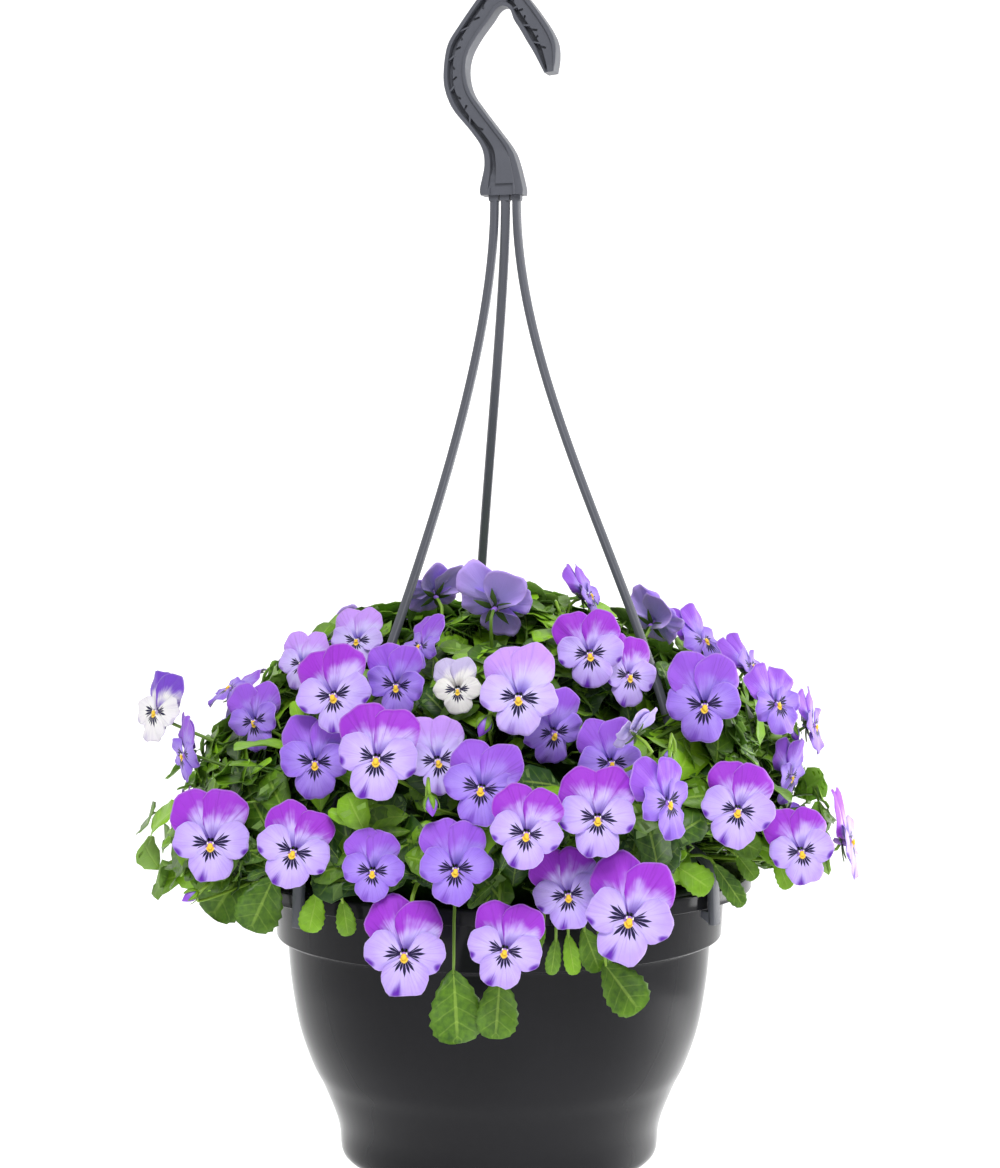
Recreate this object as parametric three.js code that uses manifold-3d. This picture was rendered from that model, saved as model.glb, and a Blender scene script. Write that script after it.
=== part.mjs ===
// Viola hanging basket: a round plastic pot on three stiff moulded strands and a hook, planted with
// violas in full bloom. Millimetres, +Z up, the front at -Y. The origin is the middle of the pot's
// underside. Each physical piece is one named mesh; a leafy stem system is one fused body.
import * as THREE from "three";
import { mergeVertices } from "three/addons/utils/BufferGeometryUtils.js";
import Module from "manifold-3d";

const wasm = await Module();
wasm.setup();

// ---- Driving dimensions ------------------------------------------------------------------------
const GAP = 0.3; // between pieces that touch
const TURN = 2 * Math.PI;

const POT = {
  height: 144, wall: 2.2, floor: 3, sides: 24,
  rimRadius: 127, rimHeight: 8, collarRadius: 112, collarFoot: 112, bodyRadius: 106.5,
  waistRadius: 100.5, waistHeight: 66, bellyRadius: 88, bellyHeight: 35.5,
  footRadius: 80, baseRadius: 74.5,
  drainRadius: 4.5, drainRing: 48, drainCount: 4,
};
const SOIL = { edgeHeight: 128, crownHeight: 132, holeDepth: 18, holeRadius: 7 };
const HOOK = {
  across: 3.3, depth: 10, turn: -16, recess: 3.2, flange: 3, foot: 483, mouthWidth: 17.8, mouthHeight: 8,
};
const STRAND = {
  width: 4.6, thickness: 3.2, headWidth: 5.2, headThickness: 4.4, headPitch: 5.8,
  headTop: 489.5, headFoot: 480, rimReach: 130.2, legFoot: 129, barbReach: 5.2, barbHeight: 6.2,
};
// Each strand: bearing of its clip from the front (degrees, + to the right), its place in the hook,
// how low it holds on straight down, and the share of its reach and the height it swings out to.
const STRANDS = [
  { name: "strand_left", bearing: -46, seat: -1, straight: 368, swing: [0.86, 190] },
  { name: "strand_back", bearing: 188, seat: 0, straight: 416, swing: [0.74, 298] },
  { name: "strand_right", bearing: 51, seat: 1, straight: 372, swing: [0.86, 256] },
];

// The planting fills a dome over the pot; blooms sit on it and leaves just under it.
const DOME = { radius: 172, height: 138, centre: 150 };
const EYE = { distance: 1214, height: 334 }; // where a person stands who looks at the front
const STEM_RADIUS = 1.1;
const CROWN = { ring: 68, radius: 5.6 };
const CORE = { share: 0.72, sides: 20 };
const STRAND_ROOM = 3.4; // from a strand's middle to the nearest green
const LEAF = { points: 8, thickness: 0.7, fold: 0.14 };

// ---- Small tools -------------------------------------------------------------------------------
const rad = (degrees) => (degrees * Math.PI) / 180;
const vec = (x, y, z) => new THREE.Vector3(x, y, z);

// Point at a bearing from the front, a radius from the pot's axis and a height.
const around = (bearing, radius, z) =>
  vec(radius * Math.sin(rad(bearing)), -radius * Math.cos(rad(bearing)), z);
const bearingOf = (p) => THREE.MathUtils.radToDeg(Math.atan2(p.x, -p.y));

// Seeded random numbers from 0 to 1 (mulberry32).
function random(seed) {
  let a = seed >>> 0;
  return () => {
    a = (a + 0x6d2b79f5) >>> 0;
    let t = Math.imul(a ^ (a >>> 15), a | 1);
    t = (t + Math.imul(t ^ (t >>> 7), t | 61)) ^ t;
    return ((t ^ (t >>> 14)) >>> 0) / 4294967296;
  };
}

function toSolid(geometry) {
  const bare = geometry.index ? geometry.toNonIndexed() : geometry.clone();
  bare.deleteAttribute("normal");
  bare.deleteAttribute("uv");
  const merged = mergeVertices(bare, 1e-4);
  return new wasm.Manifold(new wasm.Mesh({
    numProp: 3,
    vertProperties: new Float32Array(merged.attributes.position.array),
    triVerts: new Uint32Array(merged.index.array),
  }));
}

function toGeometry(solid) {
  const mesh = solid.getMesh();
  const geometry = new THREE.BufferGeometry();
  geometry.setAttribute("position", new THREE.BufferAttribute(new Float32Array(mesh.vertProperties), 3));
  geometry.setIndex(new THREE.BufferAttribute(new Uint32Array(mesh.triVerts), 1));
  geometry.computeVertexNormals();
  return geometry;
}

const fuse = (geometries) => geometries.map(toSolid).reduce((all, one) => all.add(one));
const cut = (solid, geometries) => geometries.reduce((all, one) => all.subtract(toSolid(one)), solid);

// A lathe turned about +Z from [radius, height] pairs that start and end on the axis, going up.
function turned(profile, sides) {
  const points = profile.map(([r, z]) => new THREE.Vector2(r, z));
  return new THREE.LatheGeometry(points, sides).rotateX(Math.PI / 2);
}

function upright(radius, height, sides) {
  return new THREE.CylinderGeometry(radius, radius, height, sides).rotateX(Math.PI / 2);
}

// A run of straight stretches from stop to stop, one step of an extrusion each.
class Route extends THREE.Curve {
  constructor(stops) {
    super();
    this.stops = stops;
  }
  getPoint(t) {
    const place = t * (this.stops.length - 1);
    const k = Math.min(Math.floor(place), this.stops.length - 2);
    return this.stops[k].clone().lerp(this.stops[k + 1], place - k);
  }
  getUtoTmapping(u) {
    return u;
  }
}

// A flat outline pulled along some stops, and one raised to a height above its own plane.
const along = (section, stops) => new THREE.ExtrudeGeometry(section, {
  steps: stops.length - 1, extrudePath: new Route(stops), bevelEnabled: false,
});
const raised = (shape, depth) => new THREE.ExtrudeGeometry(shape, { depth, bevelEnabled: false });
const outlineOf = (pairs) => new THREE.Shape(pairs.map(([x, y]) => new THREE.Vector2(x, y)));

// A three-sided stem through some stops.
function stem(stops, radius) {
  const corners = [0, 1, 2].map((k) =>
    new THREE.Vector2(radius * Math.cos((TURN * k) / 3), radius * Math.sin((TURN * k) / 3)));
  return along(new THREE.Shape(corners), stops);
}

// ---- Pot ---------------------------------------------------------------------------------------
// Outer profile from the base up: rounded foot, S-shaped body, step, collar, down-turned rim.
function potOutside() {
  const { height, rimHeight } = POT;
  return [
    [POT.baseRadius, 0], [POT.footRadius - 0.5, 4.5], [POT.footRadius + 1.2, 18],
    [POT.bellyRadius, POT.bellyHeight], [POT.bellyRadius + 6.3, 48],
    [POT.waistRadius, POT.waistHeight], [POT.waistRadius + 4, 88],
    [POT.bodyRadius, POT.collarFoot - 1.5], [POT.collarRadius, POT.collarFoot],
    [POT.collarRadius + 2, height - rimHeight + 5.4], [POT.rimRadius - 2.2, height - rimHeight + 5.4],
    [POT.rimRadius - 2.2, height - rimHeight], [POT.rimRadius, height - rimHeight],
    [POT.rimRadius, height - 1], [POT.rimRadius - 1, height],
  ];
}

// Inner profile from the rim down: the same run one wall in.
function potInside() {
  const { wall, height, floor } = POT;
  return [
    [POT.collarRadius, height], [POT.collarRadius - wall, POT.collarFoot + 1.5],
    [POT.bodyRadius - wall, POT.collarFoot - 2],
    [POT.waistRadius - wall, POT.waistHeight], [POT.bellyRadius - wall, POT.bellyHeight],
    [POT.footRadius + 0.8 - wall, 16], [POT.footRadius - 1.5 - wall, floor],
  ];
}

function makePot() {
  const profile = [[0, 0], ...potOutside(), ...potInside(), [0, POT.floor]];
  const drains = Array.from({ length: POT.drainCount }, (_, k) => {
    const at = around(45 + (360 * k) / POT.drainCount, POT.drainRing, POT.floor / 2);
    return upright(POT.drainRadius, POT.floor + 2, 8).translate(at.x, at.y, at.z);
  });
  return toGeometry(cut(toSolid(turned(profile, POT.sides)), drains));
}

// ---- Soil --------------------------------------------------------------------------------------
// Fills the pot to just under its rim, clear of the wall, with a plain hole for each stem system.
function makeSoil(crowns) {
  const inset = GAP + 0.25;
  const wall = potInside().reverse().filter(([, z]) => z < SOIL.edgeHeight);
  const [floorEdge, ...side] = wall.map(([r, z]) => [r - inset, z]);
  const top = [POT.collarRadius - POT.wall - inset, SOIL.edgeHeight];
  const foot = POT.floor + GAP;
  const profile = [[0, foot], [floorEdge[0], foot], ...side, top, [0, SOIL.crownHeight]];
  const holes = crowns.map((c) =>
    upright(SOIL.holeRadius, 2 * SOIL.holeDepth, 6).translate(c.x, c.y, SOIL.crownHeight));
  return toGeometry(cut(toSolid(turned(profile, POT.sides)), holes));
}

// ---- Hook --------------------------------------------------------------------------------------
// A flat band: outer edge from the foot up over the crown to the tip, then the inner edge back.
function hookOutline() {
  const outer = [
    [-9.9, 498], [-11.3, 507], [-17.1, 515.7], [-26.6, 527.3], [-31, 538.4], [-31.3, 549],
    [-29.2, 560.2], [-23.4, 569.3], [-13.9, 582], [-8.5, 587.6], [-1, 589.6], [6.5, 587.9],
    [12.4, 581.9], [18.9, 573.3], [24.5, 564.7], [27.2, 558], [27.6, 550.8],
  ];
  const inner = [
    [17.6, 550.8], [12.1, 560.2], [5.6, 571], [3.6, 576], [0, 578.2], [-3.6, 576.5], [-7, 571.8],
    [-13.7, 563.2], [-18.4, 554.6], [-19.7, 545.5], [-17.5, 535.9], [-11.8, 527.3], [-3.7, 516.7],
    [3.5, 507], [6.8, 499.5],
  ];
  return { outer, inner };
}

function hookShape() {
  const { outer, inner } = hookOutline();
  return outlineOf([[-11.9, HOOK.foot], [-12.2, 486.5], ...outer, [26.3, 543.5], [21.8, 543], ...inner,
    [10, 487], [10.2, HOOK.foot]]);
}

// The channel sunk in each face: it runs beside the band's outer edge between two flanges.
function hookChannel() {
  const { outer, inner } = hookOutline();
  const toward = (from, to, by) => {
    const a = new THREE.Vector2(...from);
    const step = new THREE.Vector2(...to).sub(a);
    return a.add(step.setLength(by));
  };
  // Points of the outer and the inner edge that lie across the band from each other.
  const pairs = [
    [0, 14], [1, 13], [3, 11], [4, 10], [5, 9], [6, 8], [7, 7], [8, 6], [10, 4], [12, 2], [14, 1],
  ];
  const left = pairs.map(([o, i]) => toward(outer[o], inner[i], HOOK.flange));
  const right = pairs.map(([o, i]) => toward(inner[i], outer[o], HOOK.flange)).reverse();
  return new THREE.Shape([...left, ...right]);
}

function makeHook() {
  const slab = raised(hookChannel(), HOOK.recess);
  const front = slab.clone().translate(0, 0, HOOK.depth - HOOK.recess + 0.01);
  const back = slab.clone().translate(0, 0, -0.01);
  const mouth = new THREE.BoxGeometry(HOOK.mouthWidth, HOOK.mouthHeight * 2, STRAND.headThickness + 2 * GAP)
    .translate(0, HOOK.foot, HOOK.depth / 2);
  const solid = cut(toSolid(raised(hookShape(), HOOK.depth)), [front, back, mouth]);
  // From the drawing plane (u, z) to the upright plane of the hook, its middle on the hook's axis.
  return toGeometry(solid).translate(0, 0, -HOOK.depth / 2).rotateX(Math.PI / 2);
}

// Where the head of a strand sits in the hook, on the line of its turned mouth.
function headSeat(seat) {
  const along = seat * STRAND.headPitch;
  return vec(HOOK.across + along * Math.cos(rad(HOOK.turn)), along * Math.sin(rad(HOOK.turn)), 0);
}

// ---- Strands -----------------------------------------------------------------------------------
// One strand in its own upright plane: x runs from the hook's axis outward, y is the height.
// It leaves the hook straight down, swings out in one long sweep, arches over the rim and ends in
// a leg with a barb that catches under the rim.
function strandStops(reach, { straight, swing: [share, height] }) {
  const flat = (x, z) => vec(x, 0, z);
  const shoulder = flat(reach - 14, 166);
  const crest = flat(reach - 5, 158.6);
  const heel = flat(reach, 146);
  const sweep = new THREE.CubicBezierCurve3(
    flat(0, STRAND.headFoot), flat(0, straight), flat(reach * share, height), shoulder);
  const arch = new THREE.CubicBezierCurve3(
    shoulder, flat(reach - 12.8, 162.6), flat(reach - 9, 162.4), crest);
  const bend = new THREE.CubicBezierCurve3(crest, flat(reach - 1.6, 155.2), flat(reach, 151), heel);
  return [flat(0, STRAND.headFoot + 1.5), ...sweep.getPoints(9), ...arch.getPoints(2).slice(1),
    ...bend.getPoints(3).slice(1), flat(reach + 0.6, STRAND.legFoot)];
}

function strandSection(width, thickness) {
  const w = width / 2;
  const t = thickness / 2;
  const c = 0.7; // the two outer corners are chamfered
  return outlineOf([[-t, -w], [t - c, -w], [t, -w + c], [t, w - c], [t - c, w], [-t, w]]);
}

function makeStrand(reach, headTurn, strand) {
  const sweep = along(strandSection(STRAND.width, STRAND.thickness), strandStops(reach, strand));
  const headHeight = STRAND.headTop - STRAND.headFoot;
  const head = new THREE.BoxGeometry(STRAND.headWidth, STRAND.headThickness, headHeight)
    .rotateZ(headTurn).translate(0, 0, STRAND.headFoot + headHeight / 2);
  const { width, barbReach, barbHeight } = STRAND;
  const wedge = outlineOf([
    [0.5, 0], [0.5, barbHeight], [-barbReach, barbHeight], [-barbReach, barbHeight - 3],
  ]);
  const barb = raised(wedge, width).rotateX(Math.PI / 2).translate(reach, width / 2, STRAND.legFoot + 0.2);
  return toGeometry(fuse([sweep, head, barb]));
}

// The upright plane of a strand: through its seat in the hook and its place on the rim.
function strandFrame({ bearing, seat }) {
  const from = headSeat(seat);
  const to = around(bearing, STRAND.rimReach, 0);
  const run = to.clone().sub(from);
  return { from, reach: run.length(), turn: Math.atan2(run.y, run.x) };
}

// ---- Blooms ------------------------------------------------------------------------------------
// One petal's outline: narrow at its root, widest past the middle and rounded at the tip.
function petalShape(length, width, points) {
  return outlineOf(Array.from({ length: points }, (_, k) => {
    const a = (TURN * k) / points;
    const out = (1 - Math.cos(a)) / 2;
    return [1.22 * width * Math.sin(a) * out ** 0.8, PETAL_ROOT + (length - PETAL_ROOT) * out];
  }));
}

// Two upper petals behind, two side petals, one broad lower petal in front. The angle is that of
// the petal's axis from the bloom's right; layer is the height of its back face.
const PETALS = [
  { angle: 116, length: 27, width: 12.8, points: 6, layer: -3 },
  { angle: 63, length: 27, width: 12.8, points: 6, layer: -1.9 },
  { angle: 170, length: 19.5, width: 11.4, points: 5, layer: -0.7 },
  { angle: 10, length: 19.5, width: 11.4, points: 5, layer: -0.7 },
  { angle: -90, length: 18.8, width: 13.6, points: 6, layer: 0.4 },
];
const PETAL_THICKNESS = 0.8;
const SMALL_BLOOM = 0.88; // below this size every petal has five corners
const PETAL_ROOT = 1.3; // how far from the bloom's middle a petal starts, inside its hub
// The bloom's five-sided middle, one side to each petal: corner angles, and back and front heights.
const HUB = { radius: 3.6, back: -4.2, front: 1.9, corners: [-40, 36, 90, 143, 220] };

function bloomSolid(scale) {
  const petals = PETALS.map((petal) => {
    const points = scale < SMALL_BLOOM ? 5 : petal.points;
    const shape = petalShape(petal.length * scale, petal.width * scale, points);
    return raised(shape, PETAL_THICKNESS).rotateZ(rad(petal.angle - 90)).translate(0, 0, petal.layer);
  });
  const corners = HUB.corners.map((a) => [HUB.radius * Math.cos(rad(a)), HUB.radius * Math.sin(rad(a))]);
  return fuse([raised(outlineOf(corners), HUB.front - HUB.back).translate(0, 0, HUB.back), ...petals]);
}

// The blooms that show from the front, placed by hand. Across and up are read against a board
// through the pot's axis by a person at the eye's distance; turn (to the right), nod (up) and roll
// are degrees away from facing that person; lift is the share of the dome's size it stands at.
const BLOOMS = [
  [-34, 283, 0.86, -150, 35, 10, 0.98, "lilac"], [-1, 277, 1.05, 165, 28, 0, 1.0, "lilac"],
  [46, 281, 0.8, 75, 20, 0, 0.98, "lilac"], [80, 268, 0.86, 140, 25, 10, 0.98, "lilac"],
  [46, 251, 0.93, 4, 2, 4, 1.0, "crown"], [66, 240, 0.9, 36, 4, -6, 0.93, "crown"],
  [10, 229, 1.05, -4, 4, -4, 1.0, "pale"], [-21, 233, 0.66, -6, 0, 6, 0.93, "white"],
  [-52, 235, 0.85, -16, 0, 0, 0.95, "lilac"], [-40, 255, 0.8, -60, 25, 0, 0.93, "lilac"],
  [-84, 230, 1.05, -18, 6, 12, 1.0, "crown"], [-93, 196, 0.98, -12, 0, 0, 0.88, "lilac"],
  [-62, 198, 1.08, -4, 4, -10, 1.02, "crown"], [-31, 197, 0.9, 8, 0, 8, 0.87, "pale"],
  [-136, 234, 0.85, -80, 45, 0, 0.98, "lilac"], [-124, 217, 0.85, -35, 0, 10, 0.9, "lilac"],
  [-174, 222, 0.92, -50, 10, 0, 1.06, "white"], [-160, 200, 0.85, -70, -10, 0, 1.0, "lilac"],
  [-72, 258, 0.8, -20, 20, 0, 0.9, "pale"], [-100, 246, 0.75, -25, 10, 0, 0.93, "pale"],
  [28, 211, 0.9, 24, -20, 10, 0.87, "lilac"], [66, 213, 0.62, -125, 30, 0, 1.0, "white"],
  [57, 196, 0.9, 20, 0, 0, 0.88, "lilac"], [86, 176, 0.95, 52, 0, 4, 1.01, "lilac"],
  [104, 225, 1.05, 10, 0, 0, 1.0, "lilac"], [104, 258, 0.95, 60, 30, 0, 0.94, "lilac"],
  [128, 245, 0.9, 70, 25, 0, 0.92, "lilac"], [141, 226, 0.9, 50, 10, 0, 1.02, "lilac"],
  [160, 215, 0.85, 78, 0, 0, 1.0, "lilac"], [148, 189, 0.85, 62, -20, 0, 0.9, "lilac"],
  [121, 172, 1.0, 14, 0, -14, 0.97, "crown"], [153, 151, 0.9, 12, 0, 8, 1.0, "crown"],
  [178, 157, 1.12, 86, 0, 0, 1.02, "crown"], [-146, 155, 1.08, -6, -4, 0, 0.98, "crown"],
  [-104, 151, 0.98, -6, 2, -16, 0.93, "crown"], [-64, 141, 0.82, -4, 0, 0, 0.9, "lilac"],
  [-48, 99, 1.08, -4, -2, 0, 0.91, "crown"], [-22, 142, 0.95, 6, 0, -4, 0.92, "lilac"],
  [-9, 183, 1.0, -4, 8, -10, 0.94, "lilac"], [14, 160, 0.95, 4, 2, -8, 1.0, "crown"],
  [50, 168, 1.0, 4, 4, 0, 0.99, "crown"], [35, 129, 0.92, 4, 0, 8, 0.84, "crown"],
  [66, 117, 1.2, 12, -4, -14, 0.95, "crown"], [3, 101, 0.95, 4, 0, -12, 0.92, "crown"],
];
const TONES = { crown: 0xb36fe0, lilac: 0x9d86e0, pale: 0xcfc0f2, white: 0xefeaf4 };

// The point where the line of sight through (across, up) meets the dome scaled by lift; where the
// line passes over it, the nearest point of the line.
function onDome(across, up, lift) {
  const eye = vec(0, -EYE.distance, EYE.height);
  const sight = vec(across, 0, up).sub(eye).normalize();
  const squash = vec(1 / DOME.radius, 1 / DOME.radius, 1 / DOME.height);
  const o = eye.clone().sub(vec(0, 0, DOME.centre)).multiply(squash);
  const d = sight.clone().multiply(squash);
  const a = d.dot(d);
  const b = o.dot(d);
  const room = b * b - a * (o.dot(o) - lift * lift);
  return eye.addScaledVector(sight, (-b - Math.sqrt(Math.max(room, 0))) / a);
}

// Axes of a bloom that faces a direction, its upper petals up, rolled about that direction.
function facingAxes(face, roll) {
  const up = vec(0, 0, 1).addScaledVector(face, -face.z).normalize();
  const side = new THREE.Vector3().crossVectors(up, face);
  const turned = new THREE.Matrix4().makeBasis(side, up, face);
  return turned.multiply(new THREE.Matrix4().makeRotationZ(rad(roll)));
}

function handPlaced([across, up, scale, turn, nod, roll, lift, tone]) {
  const at = onDome(across, up, lift);
  const toEye = vec(0, -EYE.distance, EYE.height).sub(at);
  const yaw = Math.atan2(toEye.x, -toEye.y) + rad(turn);
  const pitch = rad(nod) + Math.atan2(toEye.z, Math.hypot(toEye.x, toEye.y));
  const face = vec(Math.cos(pitch) * Math.sin(yaw), -Math.cos(pitch) * Math.cos(yaw), Math.sin(pitch));
  return { at, face, scale, tone, axes: facingAxes(face, roll) };
}

// A bloom on the far side, at a bearing and an angle of height over the dome, facing outward.
function farBloom(bearing, rise, lift, scale, roll) {
  const out = around(bearing, Math.cos(rad(rise)), 0);
  const at = vec(out.x * DOME.radius * lift, out.y * DOME.radius * lift,
    DOME.centre + DOME.height * lift * Math.sin(rad(rise)));
  const face = out.clone().normalize().multiplyScalar(Math.cos(rad(0.6 * rise)));
  face.z = Math.sin(rad(0.6 * rise));
  return { at, face, scale, axes: facingAxes(face, roll) };
}

// ---- Leafy stems -------------------------------------------------------------------------------
// Each stem system keeps to its own wedge of the pot between two bearings, so no two cross, and
// the strands pass between wedges. The front one carries only hand-placed blooms; each of the
// others also carries far blooms, fused with it.
const FRONT = { name: "plant_front", from: -46, to: 51, leaves: 20, seed: 7, far: [] };
const FAR_WEDGES = [
  { name: "spray_right_front", from: 51, to: 98, leaves: 6, seed: 11, far: [] },
  { name: "spray_right_back", from: 98, to: 141, leaves: 6, seed: 12,
    far: [[110, 4, 0.95, 1.0, -8], [126, 28, 0.98, 0.95, 10]] },
  { name: "spray_back_right", from: 141, to: 188, leaves: 6, seed: 13,
    far: [[160, 2, 1.0, 1.05, 8], [171, 22, 0.98, 1.0, -8], [150, 40, 0.97, 0.95, 4]] },
  { name: "spray_back_left", from: 188, to: 225, leaves: 6, seed: 14,
    far: [[200, 0, 0.99, 1.0, -6], [216, 28, 0.98, 0.95, 6], [203, 48, 0.97, 0.95, 0]] },
  { name: "spray_left_back", from: 225, to: 265, leaves: 6, seed: 15,
    far: [[236, 4, 0.96, 1.0, 6], [252, 26, 0.97, 0.95, -6], [238, 52, 0.97, 0.95, 8]] },
  { name: "spray_left_front", from: 265, to: 314, leaves: 6, seed: 16,
    far: [[274, 6, 0.95, 0.95, -4]] },
];
// Leaves that hang over the rim in front, placed by hand: across, up, distance in front of the
// axis, length, width, lean of the tip to the right (degrees from straight down).
const HANGING_LEAVES = [
  [-20.5, 119, 138, 33, 24, 4], [0.5, 116, 138, 28, 19, -4], [47, 121, 133, 27, 20, 38],
  [-120, 156, 68, 31, 24, -34], [-106, 152, 82, 28, 22, -24], [100, 160, 96, 24, 10, 36],
];

const crownOf = ({ from, to }) => around((from + to) / 2, CROWN.ring, 0);

// How far a wedge stays back from one of its side planes: further where a strand runs in it.
const sideRoom = (bearing) =>
  (STRANDS.some((strand) => (bearing - strand.bearing) % 360 === 0) ? STRAND_ROOM : GAP);

// How far a point is inside a wedge, beyond the room it leaves at its sides.
function wedgeRoom({ from, to }, p) {
  const a = around(from, 1, 0);
  const b = around(to, 1, 0);
  return Math.min(a.x * p.y - a.y * p.x - sideRoom(from), p.x * b.y - p.y * b.x - sideRoom(to));
}

function inWedge({ from, to }, p) {
  const bearing = (bearingOf(p) + 360) % 360;
  return [bearing - 360, bearing].some((b) => b > from && b <= to);
}

// The upright prism that a wedge's core fills, its two sides set back from the wedge's planes.
function wedgePrism({ from, to }) {
  const apex = around(from, sideRoom(to) / Math.sin(rad(to - from)), 0)
    .add(around(to, sideRoom(from) / Math.sin(rad(to - from)), 0));
  const corners = [apex, around(from, 400, 0).add(apex), around(to, 400, 0).add(apex)];
  return raised(outlineOf(corners.map((p) => [p.x, p.y])), 400);
}

// The dense inner mass of leaves and stems, which the outer leaves and blooms stand out of.
function coreOf(wedge) {
  const { radius, height, centre } = DOME;
  const bulge = [0, 18, 36, 54, 72].map((rise) => [
    CORE.share * radius * Math.cos(rad(rise)), centre + 4 + CORE.share * height * Math.sin(rad(rise)),
  ]);
  const foot = SOIL.crownHeight + 0.5;
  const top = centre + 4 + CORE.share * height;
  const profile = [[0, foot], [98, foot], [104, POT.height + 4], ...bulge, [0, top]];
  return toSolid(turned(profile, CORE.sides)).intersect(toSolid(wedgePrism(wedge)));
}

// The point inside the core, on a wedge's own side, that a stalk to some place grows from.
function rootInCore(wedge, place) {
  const middle = (wedge.from + wedge.to) / 2;
  const off = THREE.MathUtils.euclideanModulo(bearingOf(place) - middle + 180, 360) - 180;
  const out = Math.hypot(place.x, place.y);
  const inward = (CORE.share - 0.12) / Math.hypot(out / DOME.radius, (place.z - DOME.centre) / DOME.height);
  const radius = Math.max(out * inward, 34);
  return around(middle + 0.75 * off, radius, Math.max(DOME.centre + (place.z - DOME.centre) * inward, 156));
}

// Where a flower's stalk bends towards its back.
const stalkBend = (bloom) => bloom.at.clone().addScaledVector(bloom.face, -13).add(vec(0, 0, -4));

// The flower stalk from the core to the back of a bloom; one that hangs in front is bent over the rim.
function flowerStalk(wedge, bloom) {
  // The stalk of a far bloom runs on into its hub, and the others end just behind it.
  const end = bloom.at.clone().addScaledVector(bloom.face, bloom.tone ? HUB.back - 2 * GAP : 0);
  const last = stalkBend(bloom);
  const over = around(bearingOf(last), POT.rimRadius + 1, POT.height + 10);
  return [rootInCore(wedge, last), ...(last.z < POT.height + 7 ? [over] : []), last, end];
}

// Leaf outline: a narrow foot, widest past the middle, blunt tip, shallow rounded teeth.
function leafShape(length, width) {
  return outlineOf(Array.from({ length: LEAF.points }, (_, k) => {
    const a = (TURN * k) / LEAF.points;
    const out = (1 - Math.cos(a)) / 2;
    const tooth = k % 2 ? 1.06 : 0.94;
    return [0.58 * width * tooth * Math.sin(a) * (0.55 + 0.45 * out), length * out];
  }));
}

// A leaf blade from its foot towards a tip direction, its upper side facing `face`; it is folded a
// little along the midrib and arches down towards its tip.
function leafBlade({ foot, tip, face, length, width, arch }) {
  const blade = raised(leafShape(length, width), LEAF.thickness);
  const p = blade.attributes.position;
  for (let i = 0; i < p.count; i++) {
    const y = p.getY(i) / length;
    p.setZ(i, p.getZ(i) - arch * y * y + LEAF.fold * Math.abs(p.getX(i)));
  }
  const side = new THREE.Vector3().crossVectors(tip, face).normalize();
  const up = new THREE.Vector3().crossVectors(side, tip);
  const place = new THREE.Matrix4().makeBasis(side, tip, up).setPosition(foot);
  return blade.applyMatrix4(place);
}

// Sample points of a leaf for the clearance tests: along its midrib and both edges.
function leafSamples({ foot, tip, face, length, width, arch }) {
  const side = new THREE.Vector3().crossVectors(tip, face).normalize();
  const up = new THREE.Vector3().crossVectors(side, tip);
  const samples = [];
  for (const y of [0, 0.3, 0.55, 0.8, 1]) {
    for (const x of [-0.5, -0.25, 0, 0.25, 0.5]) {
      const spread = y === 0 || y === 1 ? 0.1 : 1;
      samples.push(foot.clone().addScaledVector(tip, y * length)
        .addScaledVector(side, x * width * spread).addScaledVector(up, -arch * y * y));
    }
  }
  return samples;
}

// Whether a point is clear of a bloom: outside a flat round slab about its petals.
function clearOfBloom(p, bloom, margin) {
  const d = p.clone().sub(bloom.at);
  const depth = d.dot(bloom.face);
  const across = Math.sqrt(Math.max(d.lengthSq() - depth * depth, 0));
  return across > 29 * bloom.scale + margin || depth > 3.4 + margin || depth < -8.5 - margin;
}

// Whether a point is clear of the pot and the soil.
function clearOfPot(p, margin) {
  const r = Math.hypot(p.x, p.y);
  return p.z > POT.height + margin || r > POT.rimRadius + margin ||
    (r < POT.collarRadius - POT.wall - 4 && p.z > SOIL.crownHeight + margin);
}

// A leaf drawn for a wedge: somewhere just under the dome, tip outward and down, face up and out.
function drawLeaf(wedge, next) {
  const bearing = wedge.from + (wedge.to - wedge.from) * next();
  const rise = 2 + 76 * next() ** 1.3;
  const lift = 0.8 + 0.17 * next();
  const length = 24 + 10 * next();
  const out = around(bearing, Math.cos(rad(rise)), 0);
  const foot = vec(out.x * DOME.radius * lift, out.y * DOME.radius * lift,
    DOME.centre - 8 + DOME.height * lift * Math.sin(rad(rise)));
  const radial = around(bearing, 1, 0);
  const sway = around(bearing + 90, 1, 0).multiplyScalar(1.3 * (next() - 0.5));
  const tip = radial.clone().multiplyScalar(0.9).add(sway).add(vec(0, 0, 0.5 - 1.1 * next())).normalize();
  foot.addScaledVector(tip, -0.6 * length);
  const face = radial.multiplyScalar(0.5).add(vec(0, 0, 0.8)).addScaledVector(sway, 0.4 * next());
  face.normalize();
  return { foot, tip, face, length, width: length * (0.62 + 0.12 * next()), arch: 3 + 4 * next() };
}

function hangingLeaf([across, up, reach, length, width, lean]) {
  const foot = vec(across, -reach, up);
  const tip = vec(Math.sin(rad(lean)), -0.12, -Math.cos(rad(lean))).normalize();
  return { foot, tip, face: vec(0.1, -1, 0.25).normalize(), length, width, arch: 2, hangs: true };
}

// A leaf's stalk, from the core to a little inside the leaf's foot; one that hangs passes over the rim.
function leafStalk(from, leaf) {
  const end = leaf.foot.clone().addScaledVector(leaf.tip, 2);
  const over = around(bearingOf(leaf.foot), POT.rimRadius + 3, Math.max(POT.height + 9, leaf.foot.z + 3));
  return leaf.hangs ? [from, over, end] : [from, end];
}

// Whether two leaves are clear of each other, from their sample points.
const clearOfLeaf = (samples, others) =>
  samples.every((p) => others.every((q) => p.distanceToSquared(q) > 20));

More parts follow.
